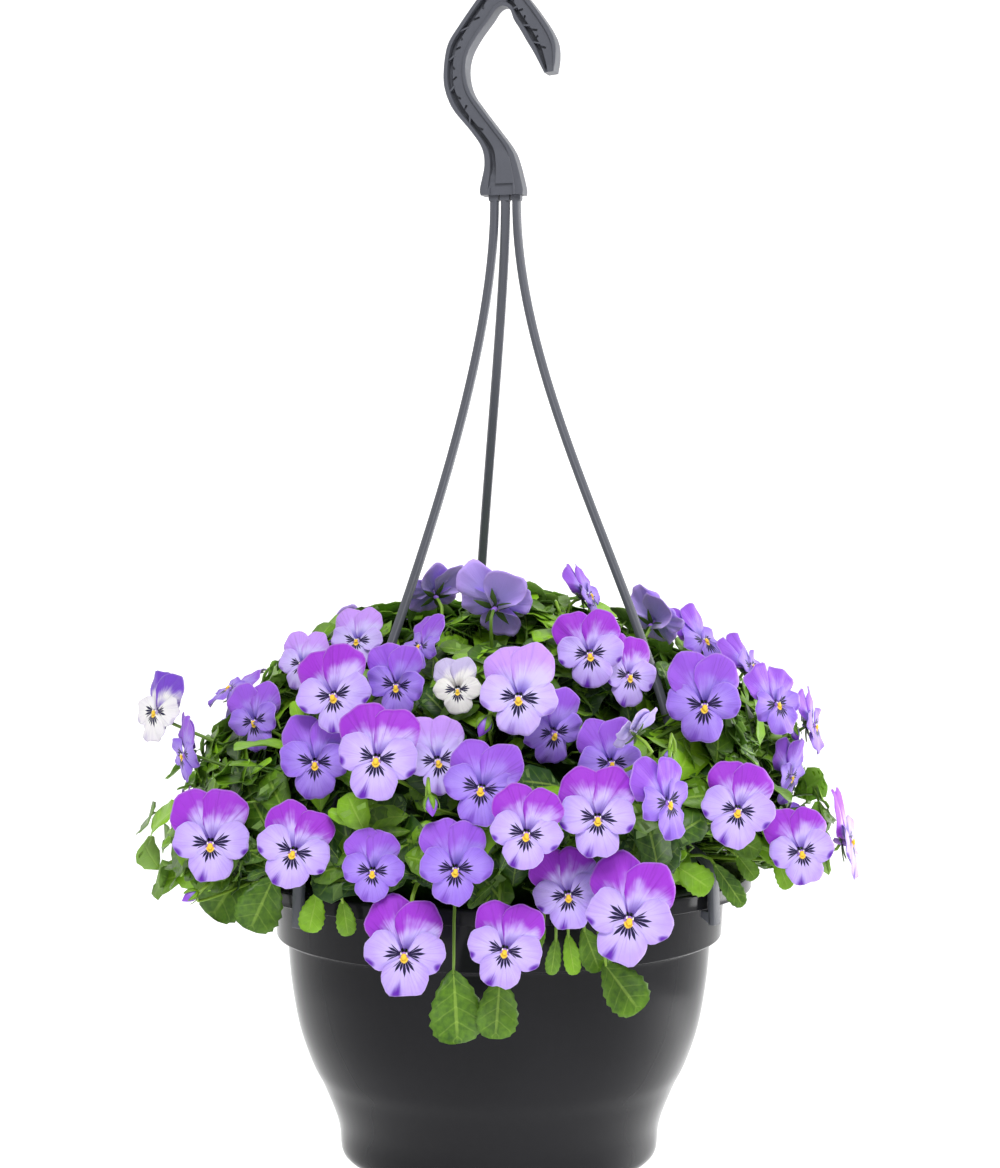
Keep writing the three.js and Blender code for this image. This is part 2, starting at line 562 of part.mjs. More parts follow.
// Whether the outer part of a leaf is clear of the straight stretches of the flower stalks.
function clearOfStalks(samples, stalks) {
  const nearest = vec(0, 0, 0);
  return stalks.every((stops) => stops.slice(1).every((b, k) => {
    const line = new THREE.Line3(stops[k], b);
    return samples.slice(5).every((p) => line.closestPointToPoint(p, true, nearest).distanceTo(p) > 2.4);
  }));
}

// Whether a leaf and its stalk are clear of every bloom, the pot and the wedge's two sides.
function leafFits(leaf, stalk, wedge, blooms) {
  const stalkPoints = [0.25, 0.5, 0.75].map((t) => stalk[0].clone().lerp(stalk[1], t));
  return [...leafSamples(leaf), ...stalkPoints].every((p) =>
    wedgeRoom(wedge, p) > 0.5 && clearOfPot(p, 2.5) && blooms.every((b) => clearOfBloom(p, b, 1)));
}

function drawLeaves(wedge, stalks, blooms, given) {
  const next = random(wedge.seed);
  const leaves = [];
  const taken = given.map(leafSamples);
  for (let tries = 0; tries < 1500 && leaves.length < wedge.leaves; tries++) {
    const leaf = drawLeaf(wedge, next);
    const samples = leafSamples(leaf);
    if (!leafFits(leaf, leafStalk(rootInCore(wedge, leaf.foot), leaf), wedge, blooms)) continue;
    if (!clearOfStalks(samples, stalks) || !taken.every((others) => clearOfLeaf(samples, others))) continue;
    leaves.push(leaf);
    taken.push(samples);
  }
  return leaves;
}

function growWedge(wedge, blooms, ownFar) {
  const crown = crownOf(wedge);
  const height = SOIL.holeDepth + 6;
  const foot = SOIL.crownHeight - SOIL.holeDepth + GAP;
  const hanging = HANGING_LEAVES.map(hangingLeaf).filter((leaf) => inWedge(wedge, leaf.foot));
  const stalks = blooms.filter((b) => inWedge(wedge, stalkBend(b))).map((b) => flowerStalk(wedge, b));
  const leaves = [...hanging, ...drawLeaves(wedge, stalks, blooms, hanging)];
  const petals = ownFar.map((b) =>
    toGeometry(bloomSolid(b.scale)).applyMatrix4(b.axes.clone().setPosition(b.at)));
  const grown = fuse([
    upright(CROWN.radius, height, 6).translate(crown.x, crown.y, foot + height / 2),
    ...stalks.map((stops) => stem(stops, STEM_RADIUS)),
    ...leaves.map((leaf) => stem(leafStalk(rootInCore(wedge, leaf.foot), leaf), STEM_RADIUS)),
    ...leaves.map(leafBlade),
    ...petals,
  ]);
  return toGeometry(grown.add(coreOf(wedge)));
}

// ---- Assembly ----------------------------------------------------------------------------------
const plastic = (hex) => new THREE.MeshStandardMaterial({ color: hex, roughness: 0.3, metalness: 0 });
const living = (hex) => new THREE.MeshStandardMaterial({ color: hex, roughness: 0.6, metalness: 0 });

const basket = new THREE.Group();

function place(name, geometry, material, at = vec(0, 0, 0)) {
  const mesh = new THREE.Mesh(geometry, material);
  mesh.name = name;
  mesh.position.copy(at);
  basket.add(mesh);
  return mesh;
}

const wedges = [FRONT, ...FAR_WEDGES];
place("pot", makePot(), plastic(0x3c3c40));
place("soil", makeSoil(wedges.map(crownOf)), living(0x2b1e15));

place("hook", makeHook(), plastic(0x6e7076), vec(HOOK.across, 0, 0)).rotation.z = rad(HOOK.turn);
for (const strand of STRANDS) {
  const { from, reach, turn } = strandFrame(strand);
  const mesh = place(strand.name, makeStrand(reach, rad(HOOK.turn) - turn, strand), plastic(0x66686e), from);
  mesh.rotation.z = turn;
}

const seen = BLOOMS.map(handPlaced);
const far = wedges.map((wedge) => wedge.far.map((row) => farBloom(...row)));
const every = [...seen, ...far.flat()];
seen.forEach((bloom, k) => {
  const name = "bloom_" + String(k + 1).padStart(2, "0");
  const mesh = place(name, toGeometry(bloomSolid(bloom.scale)), living(TONES[bloom.tone]), bloom.at);
  mesh.quaternion.setFromRotationMatrix(bloom.axes);
});
wedges.forEach((wedge, k) => {
  place(wedge.name, growWedge(wedge, every, far[k]), living(0x4f7f24));
});

export default basket;
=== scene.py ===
import logging
import math
from dataclasses import dataclass, field
from enum import Enum
from typing import Any, Callable, Iterable, Sequence

import bpy
import numpy as np
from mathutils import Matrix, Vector


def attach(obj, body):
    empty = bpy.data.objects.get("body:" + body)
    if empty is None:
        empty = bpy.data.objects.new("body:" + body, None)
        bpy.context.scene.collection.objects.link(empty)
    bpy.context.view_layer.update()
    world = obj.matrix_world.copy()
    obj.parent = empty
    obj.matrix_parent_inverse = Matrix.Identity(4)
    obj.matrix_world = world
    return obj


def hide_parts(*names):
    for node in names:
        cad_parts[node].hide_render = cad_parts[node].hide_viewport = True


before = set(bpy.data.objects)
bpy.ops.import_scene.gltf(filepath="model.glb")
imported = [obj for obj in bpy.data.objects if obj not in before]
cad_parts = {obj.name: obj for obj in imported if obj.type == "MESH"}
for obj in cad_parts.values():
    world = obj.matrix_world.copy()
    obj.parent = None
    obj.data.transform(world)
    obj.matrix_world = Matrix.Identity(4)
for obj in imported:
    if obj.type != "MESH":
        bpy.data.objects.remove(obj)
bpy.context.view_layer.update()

# A viola hanging basket: glossy pot, satin hanger, and a dome of blooms over toothed leaves.
# Shapes are worked out in millimetres, +Z up and the front at -Y, and made in metres.

LOG = logging.getLogger("viola_basket")
MM = 0.001
EDGE_ROUND = 0.3 * MM
TURN = 2 * math.pi
UP = np.array([0, 0, 1.0])
Array = np.ndarray
Values = dict[str, Array]
Draw = np.random.Generator
Material = bpy.types.Material
Colour = tuple[float, float, float, float]


# ---- Numbers and vectors ----
def srgb(red: int, green: int, blue: int) -> Colour:
    """A display colour from 0 to 255 as the shader's linear colour."""
    values = np.array([red, green, blue]) / 255
    linear = np.where(values <= 0.04045, values / 12.92, ((values + 0.055) / 1.055) ** 2.4)
    return (*linear.tolist(), 1.0)


def unit(vectors: Array) -> Array:
    """The vectors along the last axis, each divided by its length."""
    return vectors / np.maximum(np.linalg.norm(vectors, axis=-1, keepdims=True), 1e-9)


def around(bearing: float | Array, radius: float | Array, height: float | Array) -> Array:
    """Points at degrees from the front: x = radius sin(bearing), y = -radius cos(bearing), z = height."""
    angle = np.radians(bearing)
    return np.stack(np.broadcast_arrays(radius * np.sin(angle), -radius * np.cos(angle), height), axis=-1)


def bearing_of(points: Array) -> Array:
    """Bearings of points from the front, in degrees."""
    return np.degrees(np.arctan2(points[..., 0], -points[..., 1]))


def smooth_run(stops: Array, per: int) -> Array:
    """A smooth run through stops: between two stops the cubic that leaves each stop along the line
    joining its two neighbours (Catmull-Rom).

    Args:
        stops: (n, d) points that the run passes.
        per: steps between one stop and the next.

    Returns:
        ((n - 1) per + 1, d) points.
    """
    padded = np.concatenate([2 * stops[:1] - stops[1:2], stops, 2 * stops[-1:] - stops[-2:-1]])
    t = (np.arange(per) / per)[None, :, None]
    a, b, c, d = (padded[k:k + len(stops) - 1, None, :] for k in range(4))
    run = 0.5 * (2 * b + (c - a) * t + (2 * a - 5 * b + 4 * c - d) * t**2 + (3 * b - a - 3 * c + d) * t**3)
    return np.concatenate([run.reshape(-1, stops.shape[1]), stops[-1:]])


def bezier(corners: Array, count: int) -> Array:
    """Cubic curves over four control points each.

    Args:
        corners: (..., 4, 3) control points.
        count: points on each curve.

    Returns:
        (..., count, 3) points, the Bernstein sum of the four corners.
    """
    t = np.linspace(0, 1, count)[:, None]
    weights = ((1 - t) ** 3, 3 * t * (1 - t) ** 2, 3 * t**2 * (1 - t), t**3)
    return sum(w * corners[..., k:k + 1, :] for k, w in enumerate(weights))


def even_steps(points: Array, count: int) -> Array:
    """The polyline resampled to a number of points an even distance apart."""
    gone = np.concatenate([[0], np.cumsum(np.linalg.norm(np.diff(points, axis=0), axis=1))])
    at = np.linspace(0, gone[-1], count)
    return np.stack([np.interp(at, gone, points[:, k]) for k in range(points.shape[1])], axis=1)


class Dice:
    """The seeded draw that the planting is laid out with (mulberry32), the same for every run."""

    STRIDE = 0x6D2B79F5
    WORD = 0xFFFFFFFF

    def __init__(self, seed: int) -> None:
        """Starts the draw at a seed."""
        self.state = seed & self.WORD

    def __call__(self) -> float:
        """The next number from 0 to 1."""
        self.state = (self.state + self.STRIDE) & self.WORD
        t = self.state
        t = ((t ^ (t >> 15)) * (t | 1)) & self.WORD
        t ^= (t + (((t ^ (t >> 7)) * (t | 61)) & self.WORD)) & self.WORD
        return ((t ^ (t >> 14)) & self.WORD) / (self.WORD + 1)


# ---- Skins: whole arrays of points and faces ----
@dataclass
class Skin:
    """Closed skins in millimetres.

    Args:
        points: (n, 3) points.
        quads: (m, 4) corner numbers.
        tris: (k, 3) corner numbers.
        values: named numbers, one for each point, for the finishes to read.
        finish: which of the piece's finishes the faces take.
    """

    points: Array
    quads: Array
    tris: Array = field(default_factory=lambda: np.zeros((0, 3), int))
    values: Values = field(default_factory=dict)
    finish: int = 0

    def outward(self) -> "Skin":
        """The skin with its faces pointing out: all turned if the volume they enclose, a sixth of
        the sum of a . (b x c) over the triangles, comes out negative."""
        corners = np.concatenate([self.quads[:, [0, 1, 2]], self.quads[:, [0, 2, 3]], self.tris])
        a, b, c = (self.points[corners[:, k]] - self.points.mean(axis=0) for k in range(3))
        if np.einsum("ij,ij->", a, np.cross(b, c)) < 0:
            self.quads, self.tris = self.quads[:, ::-1], self.tris[:, ::-1]
        return self

    def placed(self, axes: Array, at: Array) -> "Skin":
        """The skin turned to the axes, whose columns are its x, y and z, and moved to a point."""
        self.points = self.points @ axes.T + at
        return self


def grid_quads(rows: int, columns: int, closed: bool = False) -> Array:
    """Corner numbers of the quads of a grid of points.

    Args:
        rows: points along it.
        columns: points across it.
        closed: whether it is joined round its columns.

    Returns:
        (n, 4) corner numbers.
    """
    index = np.arange(rows * columns).reshape(rows, columns)
    if closed:
        index = np.concatenate([index, index[:, :1]], axis=1)
    return np.stack([index[:-1, :-1], index[1:, :-1], index[1:, 1:], index[:-1, 1:]], axis=-1).reshape(-1, 4)


def capped_faces(rows: int, columns: int, count: int = 1) -> tuple[Array, Array]:
    """Faces of grids that are joined round their columns and closed by a fan at each end.

    Args:
        rows: rings of points.
        columns: points in each ring; two poles follow after the last ring.
        count: how many such grids stand one after the other.

    Returns:
        Corner numbers of the quads and of the triangles.
    """
    size, last = rows * columns, (rows - 1) * columns
    ring = np.arange(columns)
    ahead = np.roll(ring, -1)
    first_fan = np.stack([np.full(columns, size), ring, ahead], axis=1)
    last_fan = np.stack([np.full(columns, size + 1), ahead + last, ring + last], axis=1)
    quads, tris = grid_quads(rows, columns, closed=True), np.concatenate([first_fan, last_fan])
    step = (np.arange(count) * (size + 2))[:, None, None]
    return (quads[None] + step).reshape(-1, 4), (tris[None] + step).reshape(-1, 3)


def sheets(front: Array, back: Array, values: Values, finish: int = 0) -> Skin:
    """Thin closed sheets: each is a front grid, a back grid and the strip that joins their rims.

    Args:
        front: (n, rows, columns, 3) points of the front faces.
        back: the same for the back faces.
        values: named numbers that spread to (n, rows, columns).
        finish: which of the piece's finishes the sheets take.

    Returns:
        One skin of n closed sheets, with the number "under" 0 in front and 1 behind.
    """
    count, rows, columns, _ = front.shape
    index = np.arange(rows * columns).reshape(rows, columns)
    rim = np.concatenate([index[:, 0], index[-1, 1:], index[-2::-1, -1], index[0, -2:0:-1]])
    ahead = np.roll(rim, -1)
    face = grid_quads(rows, columns)
    size = rows * columns
    strip = np.stack([ahead, rim, rim + size, ahead + size], axis=1)
    quads = np.concatenate([face, face[:, ::-1] + size, strip])
    quads = (quads[None] + (np.arange(count) * 2 * size)[:, None, None]).reshape(-1, 4)
    points = np.stack([front, back], axis=1).reshape(-1, 3)
    spread = {}
    for name, value in values.items():
        full = np.broadcast_to(value, (count, rows, columns))
        spread[name] = np.stack([full, full], axis=1).reshape(-1)
    spread["under"] = np.broadcast_to(np.array([0.0, 1.0])[None, :, None], (count, 2, size)).reshape(-1)
    return Skin(points, quads, values=spread, finish=finish).outward()


def tubes(paths: Array, sections: Array, across: Array, values: Values | None = None,
          finish: int = 0) -> Skin:
    """Closed tubes along paths: at each point of a path the section stands square to it.

    Args:
        paths: (n, steps, 3) points of the paths.
        sections: (n, steps, corners, 2) section outlines, the first number along `across` and the
            second along the path's other normal.
        across: (n, 3) directions that the section's first axis is kept to.
        values: named numbers that spread to (n, steps, corners).
        finish: which of the piece's finishes the tubes take.

    Returns:
        One skin of n tubes, with a fan of triangles over each end.
    """
    count, steps, _ = paths.shape
    corners = sections.shape[2]
    tangent = unit(np.gradient(paths, axis=1))
    first = unit(across[:, None] - (across[:, None] * tangent).sum(-1, keepdims=True) * tangent)
    second = np.cross(first, tangent)
    rings = paths[:, :, None] + sections[..., :1] * first[:, :, None] + sections[..., 1:] * second[:, :, None]
    size = steps * corners
    points = np.concatenate([rings.reshape(count, size, 3), paths[:, :1], paths[:, -1:]], axis=1)
    quads, tris = capped_faces(steps, corners, count)
    spread = {}
    for name, value in (values or {}).items():
        full = np.broadcast_to(value, (count, steps, corners)).reshape(count, size)
        spread[name] = np.concatenate([full, full[:, :1], full[:, -1:]], axis=1).reshape(-1)
    return Skin(points.reshape(-1, 3), quads, tris, spread, finish).outward()


def round_section(radius: Array, corners: int) -> Array:
    """Round sections: radius (cos, sin) at even angles, shaped radius.shape + (corners, 2)."""
    angle = TURN * np.arange(corners) / corners
    return np.asarray(radius)[..., None, None] * np.stack([np.cos(angle), np.sin(angle)], axis=-1)


def turned(profile: Array, sides: int) -> Skin:
    """A lathe form about the axis.

    Args:
        profile: (n, 2) pairs of radius and height; the first and the last lie on the axis.
        sides: steps round the axis.

    Returns:
        The points (r cos a, r sin a, z) over a grid of profile and angle, closed at both poles.
    """
    angle = TURN * np.arange(sides) / sides
    radius, height = profile[1:-1, 0, None], profile[1:-1, 1, None]
    grid = np.stack(np.broadcast_arrays(radius * np.cos(angle), radius * np.sin(angle), height), axis=-1)
    points = np.concatenate([grid.reshape(-1, 3), [[0, 0, profile[0, 1]], [0, 0, profile[-1, 1]]]])
    return Skin(points, *capped_faces(len(grid), sides)).outward()


def balls(centres: Array, axes: Array, values: dict[str, float], rings: int = 5, sides: int = 8) -> Skin:
    """Small egg forms: (sin b cos a, sin b sin a, cos b) stretched by three half axes each.

    Args:
        centres: (n, 3) middles.
        axes: (n, 3, 3) matrices whose columns are the half axes.
        values: named numbers, the same all over.
        rings: rings of points between the poles.
        sides: points in a ring.

    Returns:
        One skin of n closed forms.
    """
    rise = np.linspace(0, math.pi, rings + 2)[1:-1, None]
    turn = (TURN * np.arange(sides) / sides)[None]
    grid = np.broadcast_arrays(np.sin(rise) * np.cos(turn), np.sin(rise) * np.sin(turn), np.cos(rise))
    ball = np.concatenate([np.stack(grid, axis=-1).reshape(-1, 3), [[0, 0, 1], [0, 0, -1]]])
    points = (np.einsum("nij,kj->nki", axes, ball) + centres[:, None]).reshape(-1, 3)
    spread = {name: np.full(len(points), float(value)) for name, value in values.items()}
    return Skin(points, *capped_faces(rings, sides, len(centres)), spread).outward()


def make_piece(name: str, skins: Sequence[Skin], finishes: Sequence[Material],
               stands_for: Iterable[str] = ()) -> bpy.types.Object:
    """Joins skins into one piece of the basket, dresses it and puts it on its body.

    Args:
        name: the piece's name.
        skins: the skins, each with the number of its finish.
        finishes: the finishes in order.
        stands_for: CAD nodes that the piece replaces.

    Returns:
        The new object.
    """
    starts = np.cumsum([0] + [len(s.points) for s in skins])
    points = np.concatenate([s.points for s in skins]) * MM
    quads = np.concatenate([s.quads + k for s, k in zip(skins, starts)])
    tris = np.concatenate([s.tris + k for s, k in zip(skins, starts)])
    sizes = np.concatenate([np.full(len(quads), 4), np.full(len(tris), 3)])
    corners = np.concatenate([quads.ravel(), tris.ravel()])
    finish = np.concatenate([np.full(len(s.quads), s.finish) for s in skins]
                            + [np.full(len(s.tris), s.finish) for s in skins])
    mesh = bpy.data.meshes.new(name)
    mesh.vertices.add(len(points))
    mesh.vertices.foreach_set("co", points.ravel())
    mesh.loops.add(len(corners))
    mesh.loops.foreach_set("vertex_index", corners.astype(np.int32))
    mesh.polygons.add(len(sizes))
    mesh.polygons.foreach_set("loop_start", (np.cumsum(sizes) - sizes).astype(np.int32))
    mesh.polygons.foreach_set("material_index", finish.astype(np.int32))
    mesh.update(calc_edges=True)
    mesh.polygons.foreach_set("use_smooth", np.ones(len(sizes), bool))
    for value in sorted({key for s in skins for key in s.values}):
        numbers = np.concatenate([s.values.get(value, np.zeros(len(s.points))) for s in skins])
        mesh.attributes.new(value, "FLOAT", "POINT").data.foreach_set("value", numbers.astype(np.float32))
    for material in finishes:
        mesh.materials.append(material)
    piece = bpy.data.objects.new(name, mesh)
    bpy.context.scene.collection.objects.link(piece)
    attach(piece, "root")
    nodes = list(stands_for)
    if nodes:
        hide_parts(*nodes)
    LOG.info("%s: %d faces", name, len(sizes))
    return piece


def cut_away(piece: bpy.types.Object, cutters: Sequence[Skin], finish: Material) -> None:
    """Takes the cutters' room out of a piece.

    Args:
        piece: the piece.
        cutters: closed skins, which may cross each other.
        finish: the finish of the cut faces.
    """
    cutter = make_piece(piece.name + "_cutter", cutters, [finish])
    cut = piece.modifiers.new("cut", "BOOLEAN")
    cut.operation, cut.solver, cut.object, cut.use_self = "DIFFERENCE", "EXACT", cutter, True
    mesh = bpy.data.meshes.new_from_object(piece.evaluated_get(bpy.context.evaluated_depsgraph_get()))
    piece.modifiers.clear()
    piece.data = mesh
    bpy.data.objects.remove(cutter, do_unlink=True)


def soften(piece: bpy.types.Object, over: float | None = None) -> None:
    """Keeps a moulding's flats flat to the eye, and rounds its edges if asked.

    Args:
        piece: the piece.
        over: the angle in degrees past which edges get their small round, or None for no round.
    """
    if over is not None:
        round_off = piece.modifiers.new("soft_edges", "BEVEL")
        round_off.width, round_off.segments, round_off.limit_method = EDGE_ROUND, 1, "ANGLE"
        round_off.angle_limit = math.radians(over)
    piece.modifiers.new("crisp_edges", "WEIGHTED_NORMAL").keep_sharp = True


# ---- Shader words ----
def math_word(operation: str, turned: bool = False) -> Callable[..., "Wire"]:
    """A method of Wire that adds one Math node.

    Args:
        operation: the node's operation.
        turned: whether the wire comes after the other value.

    Returns:
        The method.
    """
    def word(self: "Wire", *others: Any) -> "Wire":
        """The Math node over this wire and the other value, if there is one."""
        return self.math(operation, *others, self) if turned else self.math(operation, self, *others)

    return word


class Wire:
    """A socket's value in an expression; each operator adds a Math node."""

    def __init__(self, shader: "Shader", socket: Any) -> None:
        """Wraps a socket of a shader."""
        self.shader = shader
        self.socket = socket

    def math(self, operation: str, *values: Any, clamp: bool = False) -> "Wire":
        """A Math node over values, the result clamped to 0 to 1 if asked."""
        settings = {"operation": operation, "use_clamp": clamp}
        node = self.shader.node("ShaderNodeMath", settings, dict(enumerate(values)))
        return Wire(self.shader, node.outputs[0])

    __add__ = __radd__ = math_word("ADD")
    __mul__ = __rmul__ = math_word("MULTIPLY")
    __sub__, __rsub__ = math_word("SUBTRACT"), math_word("SUBTRACT", turned=True)
    __truediv__, __rtruediv__ = math_word("DIVIDE"), math_word("DIVIDE", turned=True)
    __pow__, __abs__ = math_word("POWER"), math_word("ABSOLUTE")
    sine, floor, part = math_word("SINE"), math_word("FLOOR"), math_word("FRACT")

    def held(self) -> "Wire":
        """Self kept from 0 to 1."""
        return self.math("MULTIPLY", self, 1.0, clamp=True)

    def step(self, low: float, high: float) -> "Wire":
        """A smooth step from 0 at low to 1 at high; it falls where low is the larger."""
        t = ((self - low) / (high - low)).held()
        return t * t * (3.0 - 2.0 * t)


class Shader:
    """The nodes of one material or world."""

    def __init__(self, name: str) -> None:
        """Makes an empty material of that name."""
        self.material = bpy.data.materials.new(name)
        self.material.use_nodes = True
        self.tree = self.material.node_tree
        self.tree.nodes.clear()

    def node(self, kind: str, settings: dict[str, Any] | None = None,
             values: dict[Any, Any] | None = None) -> Any:
        """Adds a node.

        Args:
            kind: the node's type.
            settings: its properties, set first.
            values: numbers, colours or wires for its inputs, by name or number.

        Returns:
            The node.
        """
        made = self.tree.nodes.new(kind)
        for name, setting in (settings or {}).items():
            setattr(made, name, setting)
        for name, value in (values or {}).items():
            if isinstance(value, Wire):
                self.tree.links.new(value.socket, made.inputs[name])
            else:
                made.inputs[name].default_value = value
        return made

    def number(self, name: str) -> Wire:
        """A number that the piece's points carry."""
        return Wire(self, self.node("ShaderNodeAttribute", {"attribute_name": name}).outputs["Fac"])

    def place(self) -> Wire:
        """The point's place on the object, in metres."""
        return Wire(self, self.node("ShaderNodeTexCoord").outputs["Object"])

    def axis(self, vector: Wire, which: str) -> Wire:
        """One number of a vector, "X", "Y" or "Z"."""
        return Wire(self, self.node("ShaderNodeSeparateXYZ", values={0: vector}).outputs[which])

    def vector(self, x: Any, y: Any, z: Any) -> Wire:
        """A vector of three numbers."""
        return Wire(self, self.node("ShaderNodeCombineXYZ", values={0: x, 1: y, 2: z}).outputs[0])

    def noise(self, vector: Wire, scale: float, detail: float = 3.0, rough: float = 0.5) -> Wire:
        """Cloudy noise about 0.5 over a vector."""
        values = {"Vector": vector, "Scale": scale, "Detail": detail, "Roughness": rough}
        return Wire(self, self.node("ShaderNodeTexNoise", values=values).outputs["Fac"])

    def cells(self, vector: Wire, scale: float) -> Wire:
        """Distance to the nearest of scattered points."""
        node = self.node("ShaderNodeTexVoronoi", values={"Vector": vector, "Scale": scale})
        return Wire(self, node.outputs["Distance"])

    def blend(self, share: Any, low: Any, high: Any) -> Wire:
        """A colour between low at share 0 and high at share 1."""
        settings = {"data_type": "RGBA", "clamp_factor": True}
        return Wire(self, self.node("ShaderNodeMix", settings, {0: share, 6: low, 7: high}).outputs[2])

    def bump(self, height: Wire, distance: float, strength: float = 1.0) -> Wire:
        """A normal from a height, whose 1 stands for a distance in metres."""
        values = {"Height": height, "Distance": distance, "Strength": strength}
        return Wire(self, self.node("ShaderNodeBump", values=values).outputs["Normal"])

    def surface(self, colour: Any, roughness: Any, normal: Wire | None = None,
                **fixed: Any) -> Material:
        """Ends the material in a Principled surface.

        Args:
            colour: base colour.
            roughness: roughness.
            normal: bumped normal, if any.
            fixed: other sockets by name, underscores for spaces, each the same all over.

        Returns:
            The material.
        """
        values: dict[Any, Any] = {"Base Color": colour, "Roughness": roughness}
        if normal is not None:
            values["Normal"] = normal
        values.update({name.replace("_", " "): value for name, value in fixed.items()})
        shader = self.node("ShaderNodeBsdfPrincipled", values=values)
        self.node("ShaderNodeOutputMaterial", values={"Surface": Wire(self, shader.outputs[0])})
        return self.material


# ---- Finishes ----
def scaled(colour: Colour, factor: float) -> Colour:
    """A colour made darker or lighter by a factor, each part kept to 1."""
    return (*(min(1.0, factor * part) for part in colour[:3]), 1.0)


@dataclass(frozen=True)
class MouldedPlastic:
    """Injection-moulded plastic.

    Args:
        name: the material's name.
        colour: the plastic's colour.
        roughness: 0 mirror to 1 matt.
        grain: height of the fine skin texture in metres.
        shine: strength of its reflection, 0.5 for a plain plastic.
    """

    name: str
    colour: Colour
    roughness: float
    grain: float
    shine: float

    def material(self) -> Material:
        """The plastic: a faint cloud in colour and gloss, fine skin, and upright drag marks."""
        sh = Shader(self.name)
        place = sh.place()
        cloud = sh.noise(place, 14.0, 2.0)
        skin = sh.noise(place, 1400.0, 2.0)
        marks = [sh.axis(place, axis) * scale for axis, scale in (("X", 300.0), ("Y", 300.0), ("Z", 9.0))]
        drag = sh.noise(sh.vector(*marks), 1.0)
        colour = sh.blend(cloud * 0.7 + drag * 0.3, scaled(self.colour, 0.82), scaled(self.colour, 1.12))
        rough = self.roughness + (cloud - 0.5) * 0.06 + (drag - 0.5) * 0.03
        normal = sh.bump(skin + drag * 0.2, self.grain)
        return sh.surface(colour, rough, normal, IOR=1.5, Specular_IOR_Level=self.shine)


@dataclass(frozen=True)
class PottingSoil:
    """Moist dark potting soil.

    Args:
        name: the material's name.
    """

    name: str = "potting_soil"

    def material(self) -> Material:
        """The soil: dark crumbs with a few pale fibres and grains."""
        sh = Shader(self.name)
        place = sh.place()
        crumbs = sh.cells(place, 260.0)
        cloud = sh.noise(place, 60.0, 5.0)
        colour = sh.blend(cloud, srgb(26, 18, 12), srgb(70, 50, 35))
        grains = sh.cells(place, 420.0).step(0.16, 0.1) * sh.noise(place, 35.0).step(0.55, 0.65)
        colour = sh.blend(grains, colour, srgb(176, 160, 132))
        return sh.surface(colour, 0.95 - crumbs * 0.2, sh.bump(crumbs + cloud, 0.0015))


@dataclass(frozen=True)
class Greenery:
    """Leaves and stems: a fold-lined blade with a pale midrib, side veins and a paler underside.

    Args:
        name: the material's name.
        dark: the dark end of the leaves' green, partly painted shade for leaves deep in the planting.
        bright: the bright end of the leaves' green, partly painted light for leaves lit through from behind.
        rib: the colour of the ribs and stems.
    """

    name: str
    dark: Colour
    bright: Colour
    rib: Colour

    def material(self) -> Material:
        """The points carry `along` and `aside` on the blade, `shade` for the leaf, `stalk` 1 on stems."""
        sh = Shader(self.name)
        along, aside, shade = sh.number("along"), sh.number("aside"), sh.number("shade")
        stalk, under = sh.number("stalk"), sh.number("under")
        place = sh.place()
        mottle = sh.noise(place, 420.0, 3.0)
        cloud = sh.noise(place, 70.0, 3.0)
        # Green from dark to bright by the leaf's shade number with mottling; that number holds a random tone
        # and, for the small leaves, painted shade deep inside and painted light near the surface.
        colour = sh.blend((shade + (mottle - 0.5) * 0.5 + (cloud - 0.5) * 0.5).held(), self.dark, self.bright)
        side = abs(aside)
        ribs = (1.0 - abs(((along * 5.0 - side * 1.1).part() - 0.5) * 2.0)).step(0.8, 0.98)
        midrib = side.step(0.1, 0.03) * along.step(1.0, 0.75)
        veins = (ribs * 0.14 * side.step(1.0, 0.6) + midrib * 0.34).held()
        colour = sh.blend(veins, colour, self.rib)
        colour = sh.blend(under * 0.35, colour, srgb(150, 185, 105))
        stem_colour = sh.blend(shade, srgb(58, 92, 24), srgb(150, 190, 60))
        colour = sh.blend(stalk, colour, stem_colour)
        normal = sh.bump(mottle * 0.35 - veins * 0.8, 0.0004)
        rough = 0.34 + mottle * 0.16 + under * 0.2
        return sh.surface(colour, rough, normal, IOR=1.42)


class Tone(Enum):
    """How a bloom is coloured."""

    CROWN = "crown"
    LILAC = "lilac"
    PALE = "pale"
    WHITE = "white"
    SPLIT = "split"


